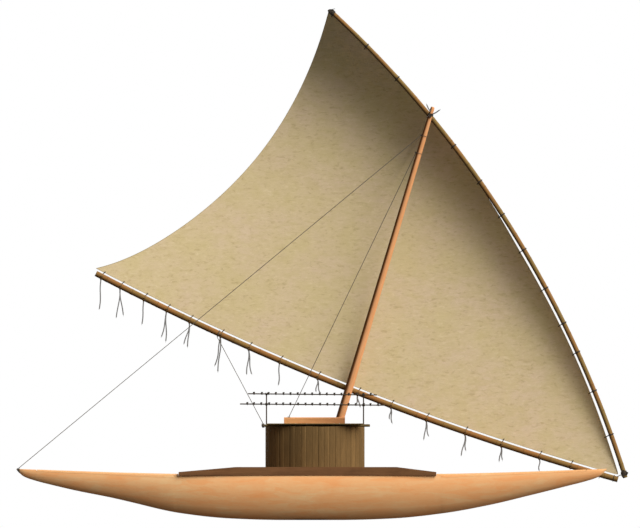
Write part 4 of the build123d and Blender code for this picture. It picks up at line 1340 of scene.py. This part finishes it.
def curve_length(curve):
    """The length of a curve's middle line."""
    bare = curve.copy()
    bare.bevel_depth = 0.0
    probe = bpy.data.objects.new("probe", bare)
    run = bpy.data.meshes.new_from_object(probe)
    points = [v.co.copy() for v in run.vertices]
    bpy.data.objects.remove(probe)
    bpy.data.curves.remove(bare)
    bpy.data.meshes.remove(run)
    return sum((b - a).length for a, b in zip(points, points[1:]))


def fray(stock, end, way):
    """A few loose yarns at a cut end."""
    for _ in range(YARN_COUNT):
        out = Vector((tail_chance.uniform(-1, 1), tail_chance.uniform(-1, 1), 0)) * 0.35
        tip = end + (way + out * 0.6).normalized() * tail_chance.uniform(YARN_LEAST, YARN_MOST)
        root = end + out * TAIL_ROPE
        stock.tube([root - way * 0.01, root.lerp(tip, 0.5) - out * 0.01, tip],
                   lambda share: YARN_RADIUS * (1.1 - share), 5)


def rope_end(name, points, body):
    """A bare rope end along a smooth line, and the length of that line."""
    curve = bpy.data.curves.new(name, "CURVE")
    curve.dimensions = "3D"
    curve.bevel_depth = TAIL_ROPE / 2
    curve.bevel_resolution = 2
    curve.resolution_u = 8
    curve.use_fill_caps = True
    spline = curve.splines.new("NURBS")
    spline.points.add(len(points) - 1)
    for i, point in enumerate(points):
        spline.points[i].co = (*point, 1.0)
    spline.order_u = 3
    spline.use_endpoint_u = True
    curve.materials.append(tail_finish)
    made = add_object(name, curve)
    length = curve_length(curve)
    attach(made, body)
    return length


def hanging(start, drop, drift, sway):
    """Points of a rope end that falls straight at first, then leaves its twin."""
    points = []
    for share in (0.0, 0.12, 0.34, 0.56, 0.80, 1.0):
        aside = drift * share * (0.35 + 0.65 * share)
        wave = sway * math.sin(6.0 * share)
        points.append(start + Vector((aside + wave, sway * math.sin(5 * share), -drop * share)))
    return points


print("rope ends:", sum(len(ends) for ends in TAILS))

# %% Boom rope ends
total = 0.0
frays = Stock()
for index, (share, ends) in enumerate(zip(BOOM_LASHINGS[1:], TAILS), 1):
    foot = boom.place(share, BOOM_RADIUS - TAIL_SINK)
    for end, (drop, drift) in enumerate(ends):
        start = foot + Vector((TAIL_SIDE, (end - 0.5) * TAIL_APART, 0))
        sway = tail_chance.choice((-1, 1)) * tail_chance.uniform(SWAY_LEAST, SWAY_MOST)
        points = hanging(start, drop, drift, sway)
        total += rope_end(f"boom_rope_end_{index}_{end}", points, "rig")
        fray(frays, points[-1], (points[-1] - points[-2]).normalized())
frays.piece("rope_end_frays", tail_finish, "rope", "rig")
print("rope ends", round(total, 2), "m in all")

# %% [markdown]
# ## Masthead and stays
# The strop at the masthead takes tight turns round the mast and loose ones round the yard,
# so that the rig can swing. The stays are taut, so each is a straight tube between its two
# hitches.

# %% Masthead strop
TACK = (8.800975, 1.390898)
swing = Vector((CROSS[0] - TACK[0], 0, CROSS[1] - TACK[1])).normalized()
cross_run = mast_run - HEAD_ABOVE
cross_point, cross_radius = mast_at(cross_run)
yard_cross = spot(CROSS[0], RIG_Y, CROSS[1])
STROP_ROPE, STROP_REACH = 0.016, 0.100
stock = Stock()
wind(stock, cross_point + lean * 0.05, lean, cross_radius * 0.86, STROP_ROPE, 6, 8)
wind(stock, yard_cross, swing, STROP_REACH - STROP_ROPE / 2, STROP_ROPE, 4, 8)
gap_start = cross_point - TO_VIEWER * (cross_radius + STROP_ROPE / 2)
gap_end = yard_cross + TO_VIEWER * STROP_REACH
wind(stock, (gap_start + gap_end) / 2, TO_VIEWER * -1, 0.012, 0.014, 3, 8)
stock.tube(straight(gap_start, gap_end, 4), 0.014, 8)
tie_knot(stock, cross_point + TO_VIEWER * (cross_radius + STROP_ROPE), TO_VIEWER, 0.045, 0.014, 8)
stock.piece("masthead_turns", lashing_finish, "rope", "hull", "masthead_strop")

# %% [markdown]
# The two ends of the strop stand out stiffly above the knot, one to each side.

# %% Strop ends
front = -cross_radius - 0.006
STROP_ENDS = (("stern", (3.620, 12.470), (3.515, 12.665)), ("bow", (3.690, 12.380), (3.905, 12.505)))
END_SAG, END_OUT = Vector((0, -0.01, -0.018)), 0.05
frays = Stock()
for name, (start_x, start_z), (end_x, end_z) in STROP_ENDS:
    first = spot(start_x, front, start_z)
    last = spot(end_x, front - END_OUT, end_z)
    bend = first.lerp(last, 0.5) + END_SAG
    points = [first, first.lerp(bend, 0.6), bend, last]
    rope_end("strop_end_" + name, points, "hull")
    fray(frays, last, (last - bend).normalized())
frays.piece("strop_end_frays", tail_finish, "rope", "hull")

# %% [markdown]
# Each stay has a hitch on the mast and rope turns at its foot: round the hull's stern tip
# for the backstay, and over the step's top for the step stay.

# %% Stays
STAY = 0.010
SEIZING = 0.012
BACKSTAY_DROP, STEP_STAY_DROP = 0.630, 1.180
STERN_TIP_X, STEP_HITCH_X = -HALF_LENGTH + 0.06, -0.690
STEP_HALF = 0.17


def hitch(stock, run):
    """Rope turns round the mast at a run from its heel, and the point where a stay leaves."""
    point, radius = mast_at(run)
    wind(stock, point, lean, radius, 0.010, 2, 8)
    side = Vector((-math.cos(MAST_RAKE), 0, math.sin(MAST_RAKE)))
    tie_knot(stock, point + side * (radius + 0.016), TO_VIEWER, 0.026, 0.010)
    return point + side * (radius + 0.010)


stock = Stock()
top = hitch(stock, cross_run - BACKSTAY_DROP)
tip = spot(STERN_TIP_X, -HULL_Y, DEPTH * STATIONS[-1][2] + STAY)
stock.tube(straight(top, tip, 60), STAY, 12)
for step in (-1, 0, 1):
    loop = section(STERN_TIP_X + step * 0.027, -HULL_Y, proud=SEIZING)
    stock.tube(loop + loop[:1], SEIZING, 8)
stock.piece("backstay_rope", stay_finish, "rope", "hull", "windward_backstay")
stock = Stock()
top = hitch(stock, cross_run - STEP_STAY_DROP)
foot = spot(STEP_HITCH_X, 0, STEP_TOP + STAY)
stock.tube(straight(top, foot, 50), STAY, 12)
for step in (-1, 0, 1):
    x = STEP_HITCH_X + step * 0.026
    stock.tube([spot(x, y, STEP_TOP + SEIZING) for y in even(-STEP_HALF, STEP_HALF, 8)], SEIZING, 8)
stock.piece("step_stay_rope", stay_finish, "rope", "hull", "step_stay")

# %% [markdown]
# The sheet runs from the boom to a stub of the roof pole and holds the sail in. It joins
# the two bodies of the boat, so it rides on neither of them and stays where it is drawn.
# The bridle at the tack is held by a peg on each bow and passes under the boom where the
# rig swings, so it stays with the hulls.

# %% Sheet
SHEET_SHARE, SHEET_X = 0.757, -1.475
boom_side = boom.place(SHEET_SHARE)
under = boom.place(SHEET_SHARE, BOOM_RADIUS + 0.018)
pole_side = spot(SHEET_X, -ROOF_POLE_Y, POLE_Z)
stock = Stock()
wind(stock, boom_side, boom.along(SHEET_SHARE), BOOM_RADIUS, 0.014, 3)
stock.tube(straight(under, pole_side + Vector((0, 0, POLE_RADIUS + 0.016)), 60), STAY, 12)
wind(stock, pole_side, (1, 0, 0), POLE_RADIUS, 0.024, 4)
sheet = stock.piece("sheet_rope", stay_finish, "rope", None)
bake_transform(sheet)
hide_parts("sheet")

# %% Bridle
PEG_Z, PEG_RADIUS, PEG_REACH = DEPTH * 1.06, 0.026, 0.150
BRIDLE_ROPE, BRIDLE_ROOM, BRIDLE_SHARE = 0.022, 0.020, 0.033
low_point = boom.place(BRIDLE_SHARE, BOOM_RADIUS + STAY + BRIDLE_ROOM)
stock = Stock()
for side in (-1, 1):
    eye = spot(TACK[0], side * (HULL_Y - PEG_REACH), PEG_Z)
    wind(stock, eye, (0, 1, 0), PEG_RADIUS, BRIDLE_ROPE, 2)
    hold = eye - Vector((0, 0, PEG_RADIUS + BRIDLE_ROPE))
    stock.tube(straight(hold, low_point, 24), STAY, 12)
stock.piece("tack_bridle_rope", stay_finish, "rope", "hull", "tack_bridle")

# %% [markdown]
# At the tack the heels of both spars are bound together: turns round each, three strands
# across the gap, and three knots on the viewer's side.

# %% Tack lashing
HEEL_SHARE, TACK_ROPE = 0.008, 0.022
boom_heel, yard_heel = boom.place(HEEL_SHARE), yard.place(HEEL_SHARE)
stock = Stock()
wind(stock, boom_heel, boom.along(HEEL_SHARE), BOOM_RADIUS, 0.014, 2)
wind(stock, yard_heel, yard.along(HEEL_SHARE), YARD_RADIUS, TACK_ROPE, 7)
for turn in (0.0, 2.1, 4.2):
    side = Vector((math.cos(turn) * 0.07, -YARD_RADIUS * 0.9, math.sin(turn) * 0.07))
    tie_knot(stock, yard_heel + side, TO_VIEWER, 0.05, 0.014)
across = (yard_heel - boom_heel).normalized()
gap_start = boom_heel + across * (BOOM_RADIUS + 0.01)
gap_end = yard_heel - across * (YARD_RADIUS + 0.01)
for side in (-1, 0, 1):
    off = Vector((0, side * TACK_ROPE, 0))
    stock.tube(straight(gap_start + off, gap_end + off, 6), TACK_ROPE / 2)
stock.piece("tack_lashing_ropes", lashing_finish, "rope", "rig", "tack_lashing")
